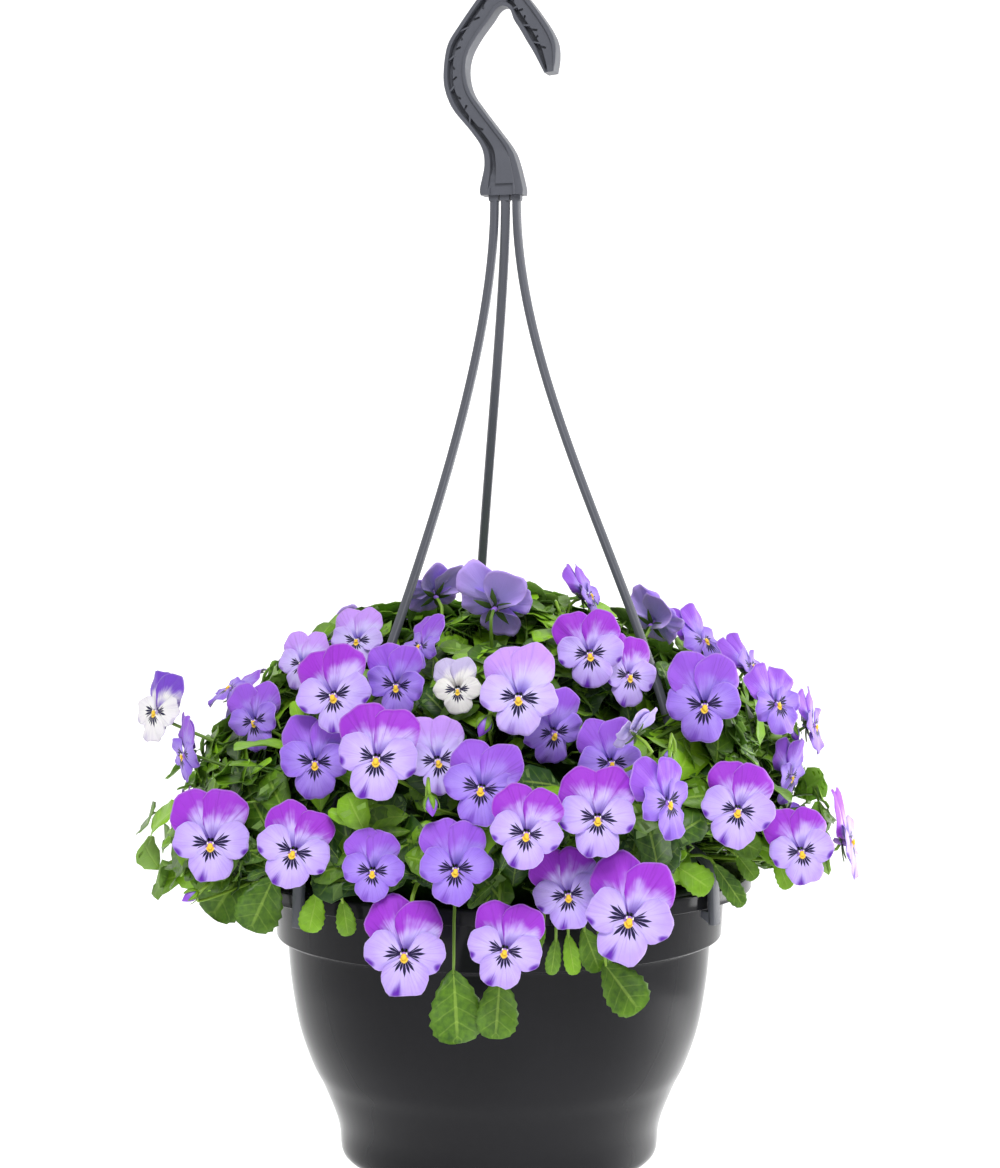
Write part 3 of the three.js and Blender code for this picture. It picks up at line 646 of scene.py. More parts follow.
@dataclass(frozen=True)
class Velvet:
    """Petals: colour runs out from the middle, fine veins fan to the rim, dark whiskers stand
    round a gold eye, and violet spots sit on some rims.

    Args:
        tone: which tone the velvet belongs to.
        body: colour of the side and lower petals near the middle.
        rim: their colour near the rim.
        crown: colour of the upper petals past their roots.
        root: colour of the upper petals' roots, darker: partly their own, partly painted shade where the side
            petals meet them.
        spots: strength of the violet spots.
    """

    tone: Tone
    body: Colour
    rim: Colour
    crown: Colour
    root: Colour
    spots: float

    def whiskers(self, sh: Shader, spread: Wire, out: Wire, shade: Wire) -> Wire:
        """Mask of the whiskers: in each step of the spread a line from the eye to a length of its
        own, broad where it starts and pointed where it ends.

        Args:
            sh: the petal's shader.
            spread: the angle off the petal's axis, in radians.
            out: how far out, in mm.
            shade: the petal's own number.

        Returns:
            The mask.
        """
        step = spread / 0.3 + 20.5
        off = abs((step.part() - 0.5) * 2.0)
        own = ((step.floor() * 12.9 + shade * 7.0).sine() * 437.5).part()
        share = ((out - 1.0) / (5.4 + own * 2.6 - abs(spread) * 0.8)).held()
        width = 1.05 - share * 0.3 - share.step(0.5, 1.0) * 0.75
        return (width - off).step(-0.05, 0.1)

    def material(self) -> Material:
        """The points carry `lobe` (0 upper, 1 side, 2 lower, 3 beard, 4 eye, 5 green), `reach` from
        root to rim, `out` in mm, `spread` in radians and `shade` for the petal."""
        sh = Shader("velvet_" + self.tone.value)
        lobe, reach, out = sh.number("lobe"), sh.number("reach"), sh.number("out")
        spread, shade, under = sh.number("spread"), sh.number("shade"), sh.number("under")
        upper = lobe.step(0.6, 0.4)
        fan = sh.vector(spread * 16.0, out * 0.05, shade * 30.0)
        veins = sh.noise(fan, 1.0, 4.0, 0.6)
        wash = sh.noise(sh.vector(spread * 2.2, out * 0.12, shade * 50.0), 1.0, 2.0)
        edge = (reach + (veins - 0.5) * 0.25 + (wash - 0.5) * 0.7).step(0.35, 1.0)
        colour = sh.blend(edge, self.body, self.rim)
        inner = spread.step(0.0, 0.75) * sh.number("mark") * upper
        crown = (reach + (veins - 0.5) * 0.22 + (wash - 0.5) * 0.6 - inner * 0.45).step(0.3, 0.72)
        # Upper petals run from the root colour, partly painted shade, through the body colour to the crown
        # colour.
        top = sh.blend(crown, sh.blend(reach.step(0.12, 0.42), self.root, self.body), self.crown)
        colour = sh.blend(upper, colour, top)
        colour = sh.blend(veins.step(0.5, 0.72) * (0.16 + upper * 0.2), colour, scaled(self.crown, 0.5))
        low = lobe.step(1.4, 1.6)
        here = (shade * 7.3).part()
        aside = spread - sh.number("mark")
        spot = 1.0 - ((reach - 1.0) / 0.2) ** 2.0 - (aside / (0.14 + here * 0.1)) ** 2.0
        spot = spot.step(0.0, 0.9)
        wedge = (reach + (veins - 0.5) * 0.6).step(0.55, 0.95) * abs(aside).step(0.2, 0.05)
        mark = (spot * (1.0 - low) + wedge * low) * (1.0 - upper) * self.spots
        colour = sh.blend(mark, colour, srgb(92, 22, 165))
        petals = lobe.step(2.6, 2.4)
        lower_reach = 0.62 + low * 0.3
        whisker = self.whiskers(sh, spread, out, shade) * (abs(spread) / lower_reach).step(1.0, 0.9)
        colour = sh.blend(whisker * (1.0 - upper) * petals, colour, srgb(16, 4, 58))
        # Painted shade: the roots of the upper and side petals darkened round the eye.
        painted_root_shade = out.step(1.9, 1.2) * petals * (1.0 - low)
        colour = sh.blend(painted_root_shade * 0.8, colour, srgb(40, 14, 84))
        glow = (out + abs(spread) * 0.7).step(3.0, 2.4) * low * petals
        colour = sh.blend(glow, colour, sh.blend(veins, srgb(255, 196, 30), srgb(255, 226, 90)))
        # Painted highlight: a thin pale line along each petal's rim.
        colour = sh.blend(reach.step(0.96, 1.0) * 0.2 * petals, colour, srgb(236, 220, 252))
        # The petals' backs are made paler: partly their own paler colour, partly painted light standing for
        # light through the petal.
        behind = sh.blend(reach, srgb(186, 172, 252), srgb(200, 178, 255))
        colour = sh.blend(under * 0.8 * petals, colour, behind)
        colour = sh.blend(lobe.step(2.6, 2.8), colour, srgb(250, 246, 238))
        eye = sh.blend(veins, srgb(232, 176, 28), srgb(255, 224, 80))
        colour = sh.blend(lobe.step(3.6, 3.8), colour, eye)
        green = sh.blend(shade, srgb(44, 66, 26), srgb(104, 140, 52))
        colour = sh.blend(lobe.step(4.6, 4.8), colour, green)
        normal = sh.bump(veins, 0.0004, 0.7)
        return sh.surface(colour, 0.5 + veins * 0.2, normal, IOR=1.38, Sheen_Weight=0.1, Sheen_Roughness=0.4,
                          Subsurface_Weight=0.2, Subsurface_Scale=0.0008, Subsurface_Radius=(1.0, 0.75, 1.0))


# Body, rim, crown and root colours of each tone (the root partly painted shade), and how strong its violet
# spots are.
TONE_COLOURS = {
    Tone.CROWN: ((198, 180, 242), (182, 156, 236), (152, 48, 200), (136, 112, 198), 1.0),
    Tone.LILAC: ((164, 136, 228), (146, 108, 218), (146, 84, 212), (112, 90, 184), 0.6),
    Tone.PALE: ((202, 188, 244), (192, 168, 240), (190, 146, 236), (130, 110, 200), 0.6),
    Tone.WHITE: ((232, 230, 226), (222, 220, 214), (190, 180, 216), (180, 176, 168), 0.0),
    Tone.SPLIT: ((232, 230, 230), (226, 222, 228), (112, 66, 190), (150, 130, 205), 0.3),
}
VELVETS = {tone: Velvet(tone, *(srgb(*colour) for colour in colours), spots)
           for tone, (*colours, spots) in TONE_COLOURS.items()}
# How strongly the petals of each tone are curled and ruffled.
CRUMPLE = {Tone.CROWN: 0.8, Tone.LILAC: 1.7, Tone.PALE: 1.1, Tone.WHITE: 1.2, Tone.SPLIT: 1.4}


# ---- Pot and soil ----
@dataclass
class Pot:
    """The hanging pot: rounded foot, S-shaped body, step, collar and down-turned rim.

    Args:
        height: height over the underside.
        wall: thickness of the side.
        floor: thickness of the floor.
        rim_radius: outer radius of the down-turned rim.
        collar_radius: outer radius at the foot of the collar.
        drain_radius: radius of a drain hole.
        drain_ring: radius of the ring that the drain holes stand on.
        sides: steps round the axis.
    """

    height: float = 144.0
    wall: float = 2.2
    floor: float = 3.0
    rim_radius: float = 127.0
    collar_radius: float = 112.0
    drain_radius: float = 4.5
    drain_ring: float = 48.0
    sides: int = 160

    def body(self) -> Array:
        """Outer body from the foot to the step: one smooth run through its named radii."""
        stops = [[79.6, 4.6], [81.2, 18], [88, 35.5], [94.3, 48], [100.5, 66], [104.5, 88], [106.5, 109]]
        return smooth_run(np.array(stops), 6)

    def profile(self) -> Array:
        """Radius and height from the middle of the underside, out, up, over the rim and down inside."""
        top = self.height
        foot = np.array([[0, 0.6], [66, 0.6], [68, 0], [75, 0], [77.2, 0.8], [78.9, 2.6]])
        step = np.array([[106.7, 110.2], [107.4, 111], [111.4, 111.3], [112, 112.2]])
        collar = np.array([[113.9, 140.6], [114.8, 141.4], [123.9, 141.4], [124.6, 140.8], [124.8, 136.4],
                           [125.2, 136], [126.6, 136], [127, 136.4], [127.1, 142.4], [126.7, 143.4],
                           [125.8, top]])
        inner = np.array([[113, top], [112, 143.4], [111.6, 142.4], [109.8, 113.6], [109.2, 112.2],
                          [104.6, 110.2]])
        inside = self.body()[::-1] - [self.wall, 0]
        floor = np.array([[76.3, self.floor + 0.6], [75.4, self.floor], [0, self.floor]])
        return np.concatenate([foot, self.body(), step, collar, inner, inside[1:-2], floor])

    def build(self, finish: Material) -> bpy.types.Object:
        """Turns the pot and cuts its drain holes.

        Args:
            finish: the pot's plastic.

        Returns:
            The pot.
        """
        pot = make_piece("pot_shell", [turned(self.profile(), self.sides)], [finish], ["pot"])
        at = around(45 + 90 * np.arange(4), self.drain_ring, 1.5)
        paths = at[:, None, :] + np.array([[0, 0, -4], [0, 0, 4]])
        circles = round_section(np.full((4, 2), self.drain_radius), 24)
        pins = tubes(paths, circles, np.tile([1.0, 0, 0], (4, 1)))
        cut_away(pot, [pins], finish)
        soften(pot)
        return pot


@dataclass
class Soil:
    """The potting soil: a crumbly crown over a plug that fills the pot.

    Args:
        edge_height: height at the wall.
        crown_height: height in the middle.
        radius: radius of the crown.
    """

    edge_height: float = 127.6
    crown_height: float = 131.6
    radius: float = 108.8

    def build(self, finish: Material) -> bpy.types.Object:
        """Turns the plug and heaps its crown: height plus sines of x and y of falling size.

        Args:
            finish: the soil's finish.

        Returns:
            The soil.
        """
        side = np.array([[75.5, 3.5], [78.2, 16], [85.2, 35.5], [97.7, 66], [103.6, 108],
                         [109, self.edge_height - 4]])
        run = np.linspace(1, 0, 30)[:, None] ** 0.8
        drop = (self.crown_height - self.edge_height) * run**2
        top = np.concatenate([self.radius * run, self.crown_height - drop], axis=1)
        skin = turned(np.concatenate([[[0, 3.5]], side, top]), 120)
        x, y, z = skin.points.T
        waves = ((0.22, 1.0), (0.47, 2.3), (0.93, 4.1))
        lumps = sum(np.sin(x * f + s) * np.sin(y * f * 1.13 + 2 * s) / f for f, s in waves)
        skin.points[:, 2] += np.where(z > self.edge_height - 2, 0.35 * lumps - 0.4, 0.0)
        return make_piece("soil_heap", [skin], [finish], ["soil"])


# ---- Hanger: hook and strands ----
@dataclass
class Hook:
    """The hook: a flat band with flanges along both edges, a recess with slanting ribs between
    them, and two flared feet about the strand heads.

    Args:
        across: how far the hook's axis stands to the right of the pot's.
        turn: its turn about its own axis in degrees.
        depth: thickness over the flanges.
        mouth: width, thickness and height of the mouth that holds the strand heads.
        foot: height of its open lower end.
        steps: steps of its edges between one stop and the next.
        apex: the step of its edges where the groove changes from the outer to the inner side.
    """

    across: float = 3.3
    turn: float = -16.0
    depth: float = 10.0
    mouth: tuple[float, float, float] = (17.8, 5.0, 8.0)
    foot: float = 483.0
    steps: int = 6
    apex: int = 74

    def edges(self) -> tuple[Array, Array]:
        """Outer and inner edge of the band from foot to tip, the same number of points each."""
        outer = [[-11.9, self.foot], [-12.2, 486.5], [-9.9, 498], [-11.3, 507], [-17.1, 515.7],
                 [-26.6, 527.3], [-31, 538.4], [-31.3, 549], [-29.2, 560.2], [-23.4, 569.3],
                 [-13.9, 582], [-8.5, 587.6], [-1, 589.6], [6.5, 587.9], [12.4, 581.9],
                 [18.9, 573.3], [24.5, 564.7], [27.2, 558], [27.6, 550.8], [26.5, 543.9]]
        inner = [[10.2, self.foot], [10, 487], [6.8, 499.5], [3.5, 507], [-3.7, 516.7],
                 [-11.8, 527.3], [-17.5, 535.9], [-19.7, 545.5], [-18.4, 554.6], [-13.7, 563.2],
                 [-7, 571.8], [-3.6, 576.5], [0, 578.2], [3.6, 576], [5.6, 571],
                 [9, 565.6], [12.1, 560.2], [15, 555.5], [17.6, 550.8], [21.4, 543.4]]
        return smooth_run(np.array(outer), self.steps), smooth_run(np.array(inner), self.steps)

    def section(self) -> tuple[Array, Array]:
        """Share across the band and depth of the section's corners, once round, for every step:
        flanges at the full half depth, between them a deep groove and a smooth shallower web. Past
        the apex the section is mirrored."""
        half = self.depth / 2
        front = np.array([[0, half - 0.5], [0.03, half], [0.17, half], [0.19, half - 0.3], [0.2, 0.5],
                          [0.36, 0.5], [0.37, half - 1.5], [0.39, half - 1.2], [0.8, half - 1.2],
                          [0.83, half - 0.3], [0.85, half], [0.97, half], [1, half - 0.5]])
        rows = np.arange(len(self.edges()[0]))[:, None, None]
        front = np.where(rows > self.apex, front[::-1] * [-1, 1] + [1, 0], front)
        loop = np.concatenate([front, front[:, ::-1] * [1, -1]], axis=1)
        return loop[..., 0], loop[..., 1]

    def on_band(self, index: Array, share: float, shift: int = 0) -> Array:
        """Points at a share across the band, counted from the side that the groove runs on."""
        outer, inner = self.edges()
        across = np.where(index > self.apex, 1 - share, share)[:, None]
        return outer[index + shift] * (1 - across) + inner[index + shift] * across

    def to_row(self, u: Array, depth: Array, z: Array) -> Array:
        """Points of the hook's own plane in the basket's frame."""
        angle = math.radians(self.turn)
        x = self.across + u * math.cos(angle) + depth * math.sin(angle)
        y = u * math.sin(angle) - depth * math.cos(angle)
        return np.stack(np.broadcast_arrays(x, y, z), axis=-1)

    def band(self) -> Skin:
        """The band: each point stands between its outer and inner edge at the section's share."""
        outer, inner = self.edges()
        share, depth = self.section()
        flat = outer[:, None] * (1 - share[..., None]) + inner[:, None] * share[..., None]
        up = outer[:, 1]
        tip = np.clip((len(outer) - 1.5 - np.arange(len(outer))) / 2, 0, 1)
        web = tip * np.clip((up - 500) / 6, 0, 1)
        groove = tip * (np.clip((up - 486) / 3, 0, 0.45) + 0.55 * np.clip((up - 493) / 2, 0, 1))
        half = np.sign(depth) * self.depth / 2
        kept = np.where(abs(depth) < 1, groove[:, None], np.maximum(web[:, None], abs(depth) > 4.4))
        depths = half + (depth - half) * kept
        grid = self.to_row(flat[..., 0], depths, flat[..., 1])
        points = np.concatenate([grid.reshape(-1, 3), grid[[0, -1]].mean(axis=1)])
        return Skin(points, *capped_faces(*depths.shape)).outward()

    def rib_steps(self) -> Array:
        """The steps of the edges where a rib crosses the groove, none of them close to the apex."""
        steps = np.arange(26, len(self.edges()[0]) - 8, 9)
        return steps[abs(steps - self.apex) > 4]

    def bars(self, starts: Array, ends: Array, depth: float, through: float, low: float, high: float) -> Skin:
        """Flat bars on both faces of the band.

        Args:
            starts: (n, 2) places across and up where they start.
            ends: where they end.
            depth: how far their middle stands from the band's middle.
            through: half their size through the band.
            low: half their size along the band at their back.
            high: the same at their front.

        Returns:
            One skin of 2 n bars.
        """
        both = [[self.to_row(p[:, 0], side * depth, p[:, 1]) for p in (starts, ends)] for side in (1.0, -1.0)]
        paths = np.concatenate([np.stack(pair, axis=1) for pair in both])
        box = np.array([[-through, -low], [through, -high], [through, high], [-through, low]])
        normal = self.to_row(0.0, 1.0, 0.0) - self.to_row(0.0, 0.0, 0.0)
        return tubes(paths, np.broadcast_to(box, (len(paths), 2, 4, 2)), np.tile(normal, (len(paths), 1)))

    def ribs(self) -> Skin:
        """Slanting ribs in the groove: short bars from the outer flange to the web."""
        at = self.rib_steps()
        return self.bars(self.on_band(at, 0.17), self.on_band(at, 0.42, 2), 2.6, 1.4, 0.5, 0.4)

    def twigs(self) -> Skin:
        """Cutters of the short slots that branch off the groove into the web, two beside each rib
        like the arms of a Y."""
        at = self.rib_steps()
        starts = np.concatenate([self.on_band(at, 0.3, 3), self.on_band(at, 0.3, -1)])
        ends = np.concatenate([self.on_band(at, 0.56, 5), self.on_band(at, 0.48, -2)])
        return self.bars(starts, ends, 3.9, 1.6, 0.55, 0.55)

    def build(self, finish: Material) -> bpy.types.Object:
        """Makes the hook and hollows its mouth.

        Args:
            finish: the hanger's plastic.

        Returns:
            The hook.
        """
        hook = make_piece("hook_band", [self.band(), self.ribs()], [finish], ["hook"])
        width, thick, high = self.mouth
        box = np.array([[-width, -thick], [width, -thick], [width, thick], [-width, thick]]) / 2
        side = self.to_row(1.0, 0.0, 0.0) - self.to_row(0.0, 0.0, 0.0)

        def pin(across: float, depth: float, low: float, top: float, size: Sequence[float]) -> Skin:
            """An upright cutter between two heights, its section a share of the mouth's."""
            path = self.to_row(np.full(2, across), np.full(2, depth), np.array([low, top]))[None]
            return tubes(path, np.broadcast_to(box * size, (1, 2, 4, 2)), side[None])

        mouth = pin(0.0, 0.0, self.foot - high, self.foot + high, (1.0, 1.0))
        window = pin(-0.9, 5.3, 480.0, 488.6, (0.68, 0.6))
        cut_away(hook, [mouth, window, self.twigs()], finish)
        soften(hook, over=40)
        return hook


class Side(Enum):
    """Which strand: its name, the bearing of its clip, its seat in the hook, how low it holds on
    straight down, and the share of its reach and the height that it swings out to."""

    LEFT = ("left", -46.0, -1, 368.0, 0.86, 190.0)
    BACK = ("back", 188.0, 0, 416.0, 0.74, 298.0)
    RIGHT = ("right", 51.0, 1, 372.0, 0.86, 256.0)


@dataclass
class Strand:
    """A stiff moulded strand: a head in the hook, a long sweep, an arch over the rim and a barbed
    leg outside it.

    Args:
        side: which strand it is.
        hook: the hook that holds its head.
        width: width of the strap.
        thickness: its thickness.
        leg_width: width of the leg.
        reach_out: how far its leg stands from the pot's axis.
        seat_step: distance between two heads in the hook.
    """

    side: Side
    hook: Hook
    width: float = 4.6
    thickness: float = 3.4
    leg_width: float = 6.6
    reach_out: float = 130.2
    seat_step: float = 5.8

    def stops(self, reach: float) -> Array:
        """The strand's line in its own plane, x outward and z up, evenly stepped: straight out of
        the hook, one long sweep, the arch over the rim, the bend and the leg.

        Args:
            reach: how far its leg stands from its head.

        Returns:
            (n, 3) stops.
        """
        def flat(*pairs: tuple[float, float]) -> Array:
            """Pairs of x and z as points."""
            return np.array([[x, 0.0, z] for x, z in pairs])
        straight, share, height = self.side.value[3:]
        shoulder, crest = (reach - 14, 166), (reach - 5, 158.6)
        sweep = bezier(flat((0, 480), (0, straight), (share * reach, height), shoulder), 60)
        arch = bezier(flat(shoulder, (reach - 12.8, 162.6), (reach - 9, 162.4), crest), 10)
        bend = bezier(flat(crest, (reach - 1.6, 155.2), (reach, 151), (reach, 146)), 10)
        leg = flat((reach + 0.2, 140), (reach + 0.4, 135), (reach + 0.6, 129))
        return np.concatenate([flat((0, 488)), sweep, arch[1:], bend[1:], leg])

    def section(self, count: int, widths: Array) -> Array:
        """A rounded bar: corners cut at 0.8 mm, (steps, 8, 2)."""
        w, t, c = widths[:, None] / 2, self.thickness / 2, 0.8
        a = np.concatenate([w, w, w - c, c - w, -w, -w, c - w, w - c], axis=1)
        b = np.broadcast_to(np.array([c - t, t - c, t, t, t - c, c - t, -t, -t]), (count, 8))
        return np.stack([a, b], axis=-1)

    def build(self, finish: Material) -> bpy.types.Object:
        """Makes the strand with its head and barb.

        Args:
            finish: the hanger's plastic.

        Returns:
            The strand.
        """
        name, bearing, seat = self.side.value[:3]
        angle = math.radians(self.hook.turn)
        row = np.array([math.cos(angle), math.sin(angle), 0.0])
        start = np.array([self.hook.across, 0.0, 0.0]) + seat * self.seat_step * row
        run = around(bearing, self.reach_out, 0.0) - start
        reach = float(np.linalg.norm(run))
        out = run / reach
        side = np.array([-out[1], out[0], 0.0])
        line = self.stops(reach)
        on_leg = np.clip((163 - line[:, 2]) / 8, 0, 1) * (line[:, 0] > reach - 12)
        widths = self.width + (self.leg_width - self.width) * on_leg
        path = start + line[:, :1] * out + line[:, 2:] * UP
        strap = tubes(path[None], self.section(len(line), widths)[None], side[None])
        head_path = start + np.array([480.0, 481.0, 489.3])[:, None] * UP
        head_box = np.array([[-2.6, -2.2], [2.6, -2.2], [2.6, 2.2], [-2.6, 2.2]])
        head_sections = np.array([0.85, 1, 1])[:, None, None] * head_box
        head = tubes(head_path[None], head_sections[None], row[None])
        barb = np.array([[0.6, 129.2], [0.6, 135.4], [-5.2, 135.4], [-5.4, 132.4]])
        cheeks = np.array([-self.leg_width / 2, self.leg_width / 2])[:, None] * side + start
        corners = cheeks[:, None] + (reach + barb[:, :1]) * out + barb[:, 1:] * UP
        faces = np.array([[0, 1, 2, 3], [7, 6, 5, 4], [0, 4, 5, 1], [1, 5, 6, 2], [2, 6, 7, 3], [3, 7, 4, 0]])
        wedge = Skin(corners.reshape(-1, 3), faces).outward()
        node = "strand_" + name
        strand = make_piece(node + "_strap", [strap, head, wedge], [finish], [node])
        soften(strand, over=50)
        return strand


# ---- Where the blooms stand ----
@dataclass(frozen=True)
class Dome:
    """The form that the planting fills, and where a person who looks at the front stands.

    Args:
        radius: its radius.
        height: its height over its middle.
        centre: the height of its middle.
        eye: the place of that person's eye.
    """

    radius: float = 172.0
    height: float = 138.0
    centre: float = 150.0
    eye: tuple[float, float, float] = (0.0, -1214.0, 334.0)

    def seen(self, across: float, up: float, lift: float) -> Array:
        """Where the line of sight through a point of the board through the axis meets the dome.

        Args:
            across: the board point's distance to the right.
            up: its height.
            lift: share of the dome's size.

        Returns:
            The point, or the nearest of the line where it passes over the dome.
        """
        eye = np.array(self.eye)
        sight = unit(np.array([across, 0, up]) - eye)
        squash = 1 / np.array([self.radius, self.radius, self.height])
        o, d = (eye - [0, 0, self.centre]) * squash, sight * squash
        a, b = d @ d, o @ d
        room = b * b - a * (o @ o - lift * lift)
        return eye + sight * (-b - math.sqrt(max(room, 0))) / a


DOME = Dome()


@dataclass
class Bloom:
    """One bloom's place: x of its axes is its right, y its upper petals' way and z its face.

    Args:
        at: its middle.
        face: the way it faces.
        roll: its turn about that way in degrees.
        scale: its size.
        tone: its colours.
    """

    at: Array
    face: Array
    roll: float
    scale: float
    tone: Tone

    def axes(self) -> Array:
        """The bloom's axes as the columns of a matrix."""
        up = unit(UP - self.face[2] * self.face)
        side = np.cross(up, self.face)
        turn = math.radians(self.roll)
        x = side * math.cos(turn) + up * math.sin(turn)
        y = up * math.cos(turn) - side * math.sin(turn)
        return np.stack([x, y, self.face], axis=1)

    def bend(self) -> Array:
        """Where its stalk bends towards its back."""
        return self.at - 13 * self.face - np.array([0, 0, 4.0])

    @classmethod
    def from_front(cls, row: tuple) -> "Bloom":
        """A bloom placed from a listed row.

        Args:
            row: across, up, size, turn, nod, roll, lift and tone.

        Returns:
            The bloom.
        """
        across, up, scale, turn, nod, roll, lift, tone = row
        at = DOME.seen(across, up, lift)
        to_eye = np.array(DOME.eye) - at
        yaw = math.atan2(to_eye[0], -to_eye[1]) + math.radians(turn)
        pitch = math.radians(nod) + math.atan2(to_eye[2], math.hypot(to_eye[0], to_eye[1]))
        face = np.array([math.cos(pitch) * math.sin(yaw), -math.cos(pitch) * math.cos(yaw), math.sin(pitch)])
        return cls(at, face, roll, scale, Tone(tone))

    @classmethod
    def on_far_side(cls, row: tuple, tone: Tone) -> "Bloom":
        """A bloom on the far side.

        Args:
            row: bearing, angle of height over the dome, lift, size and roll.
            tone: its colours.

        Returns:
            The bloom, facing outward.
        """
        bearing, rise, lift, scale, roll = row
        level = around(bearing, 1.0, 0.0)
        at = level * DOME.radius * lift * math.cos(math.radians(rise))
        at[2] = DOME.centre + DOME.height * lift * math.sin(math.radians(rise))
        face = level * math.cos(math.radians(0.6 * rise))
        face[2] = math.sin(math.radians(0.6 * rise))
        return cls(at, face, roll, scale, tone)


# Across, up, size, turn, nod, roll, lift and tone of the blooms that show from the front.
FRONT_BLOOMS = [
    (-34, 283, 0.86, -150, 35, 10, 0.98, "lilac"), (-1, 277, 1.05, 165, 28, 0, 1.0, "lilac"),
    (46, 281, 0.8, 75, 20, 0, 0.98, "lilac"), (80, 268, 0.86, 140, 25, 10, 0.98, "lilac"),
    (46, 251, 0.93, 4, 2, 4, 1.0, "crown"), (66, 240, 0.9, 36, 4, -6, 0.93, "crown"),
    (10, 229, 1.05, -4, 4, -4, 1.0, "pale"), (-21, 233, 0.66, -6, 0, 6, 0.93, "white"),
    (-52, 235, 0.85, -16, 0, 0, 0.95, "lilac"), (-40, 255, 0.8, -60, 25, 0, 0.93, "lilac"),
    (-84, 230, 1.05, -18, 6, 12, 1.0, "crown"), (-93, 196, 0.98, -12, 0, 0, 0.88, "lilac"),
    (-62, 198, 1.08, -4, 4, -10, 1.02, "crown"), (-31, 197, 0.9, 8, 0, 8, 0.87, "pale"),
    (-136, 234, 0.85, -80, 45, 0, 0.98, "lilac"), (-124, 217, 0.85, -35, 0, 10, 0.9, "lilac"),
    (-174, 222, 0.92, -50, 10, 0, 1.06, "split"), (-160, 200, 0.85, -70, -10, 0, 1.0, "lilac"),
    (-72, 258, 0.8, -20, 20, 0, 0.9, "pale"), (-100, 246, 0.75, -25, 10, 0, 0.93, "pale"),
    (28, 211, 0.9, 24, -20, 10, 0.87, "lilac"), (66, 213, 0.62, -125, 30, 0, 1.0, "white"),
    (57, 196, 0.9, 20, 0, 0, 0.88, "lilac"), (86, 176, 0.95, 52, 0, 4, 1.01, "lilac"),
    (104, 225, 1.05, 10, 0, 0, 1.0, "lilac"), (104, 258, 0.95, 60, 30, 0, 0.94, "lilac"),
    (128, 245, 0.9, 70, 25, 0, 0.92, "lilac"), (141, 226, 0.9, 50, 10, 0, 1.02, "lilac"),
    (160, 215, 0.85, 78, 0, 0, 1.0, "lilac"), (148, 189, 0.85, 62, -20, 0, 0.9, "lilac"),
    (121, 172, 1.0, 14, 0, -14, 0.97, "crown"), (153, 151, 0.9, 12, 0, 8, 1.0, "crown"),
    (178, 157, 1.12, 86, 0, 0, 1.02, "crown"), (-146, 155, 1.08, -6, -4, 0, 0.98, "crown"),
    (-104, 151, 0.98, -6, 2, -16, 0.93, "crown"), (-64, 141, 0.82, -4, 0, 0, 0.9, "lilac"),
    (-48, 99, 1.08, -4, -2, 0, 0.91, "crown"), (-22, 142, 0.95, 6, 0, -4, 0.92, "lilac"),
    (-9, 183, 1.0, -4, 8, -10, 0.94, "lilac"), (14, 160, 0.95, 4, 2, -8, 1.0, "crown"),
    (50, 168, 1.0, 4, 4, 0, 0.99, "crown"), (35, 129, 0.92, 4, 0, 8, 0.84, "crown"),
    (66, 117, 1.2, 12, -4, -14, 0.95, "crown"), (3, 101, 0.95, 4, 0, -12, 0.92, "crown"),
]


@dataclass(frozen=True)
class Petal:
    """One petal: a fan about its root.

    Args:
        angle: its axis from the bloom's right, in degrees.
        length: from the bloom's middle to its rim.
        spread: half the fan's angle in degrees.
        lobe: 0 upper, 1 side, 2 lower.
        layer: height of its root.
        lift: how far its rim stands before its root.
        notch: depth of the dent in the middle of its rim.
        mark: angle off its axis, in radians, where its violet mark sits; on an upper petal, how far
            the pale root spreads over its inner half.
    """

    angle: float
    length: float
    spread: float
    lobe: int
    layer: float
    lift: float
    notch: float
    mark: float


PETALS = (
    Petal(116, 27.0, 56, 0, -2.6, -1.2, 0.0, 0.0), Petal(66, 26.4, 54, 0, -1.7, -0.4, 0.0, 1.0),
    Petal(174, 19.0, 65, 1, -0.5, 0.8, 0.0, -0.42), Petal(6, 19.0, 65, 1, -0.5, 0.8, 0.0, 0.42),
    Petal(-90, 19.6, 77, 2, 0.6, -0.6, 0.06, 0.25),
)


# The outermost share of a petal's fan, just inside the angle where its rim would shrink to a point.
RIM_SHARE = 0.999


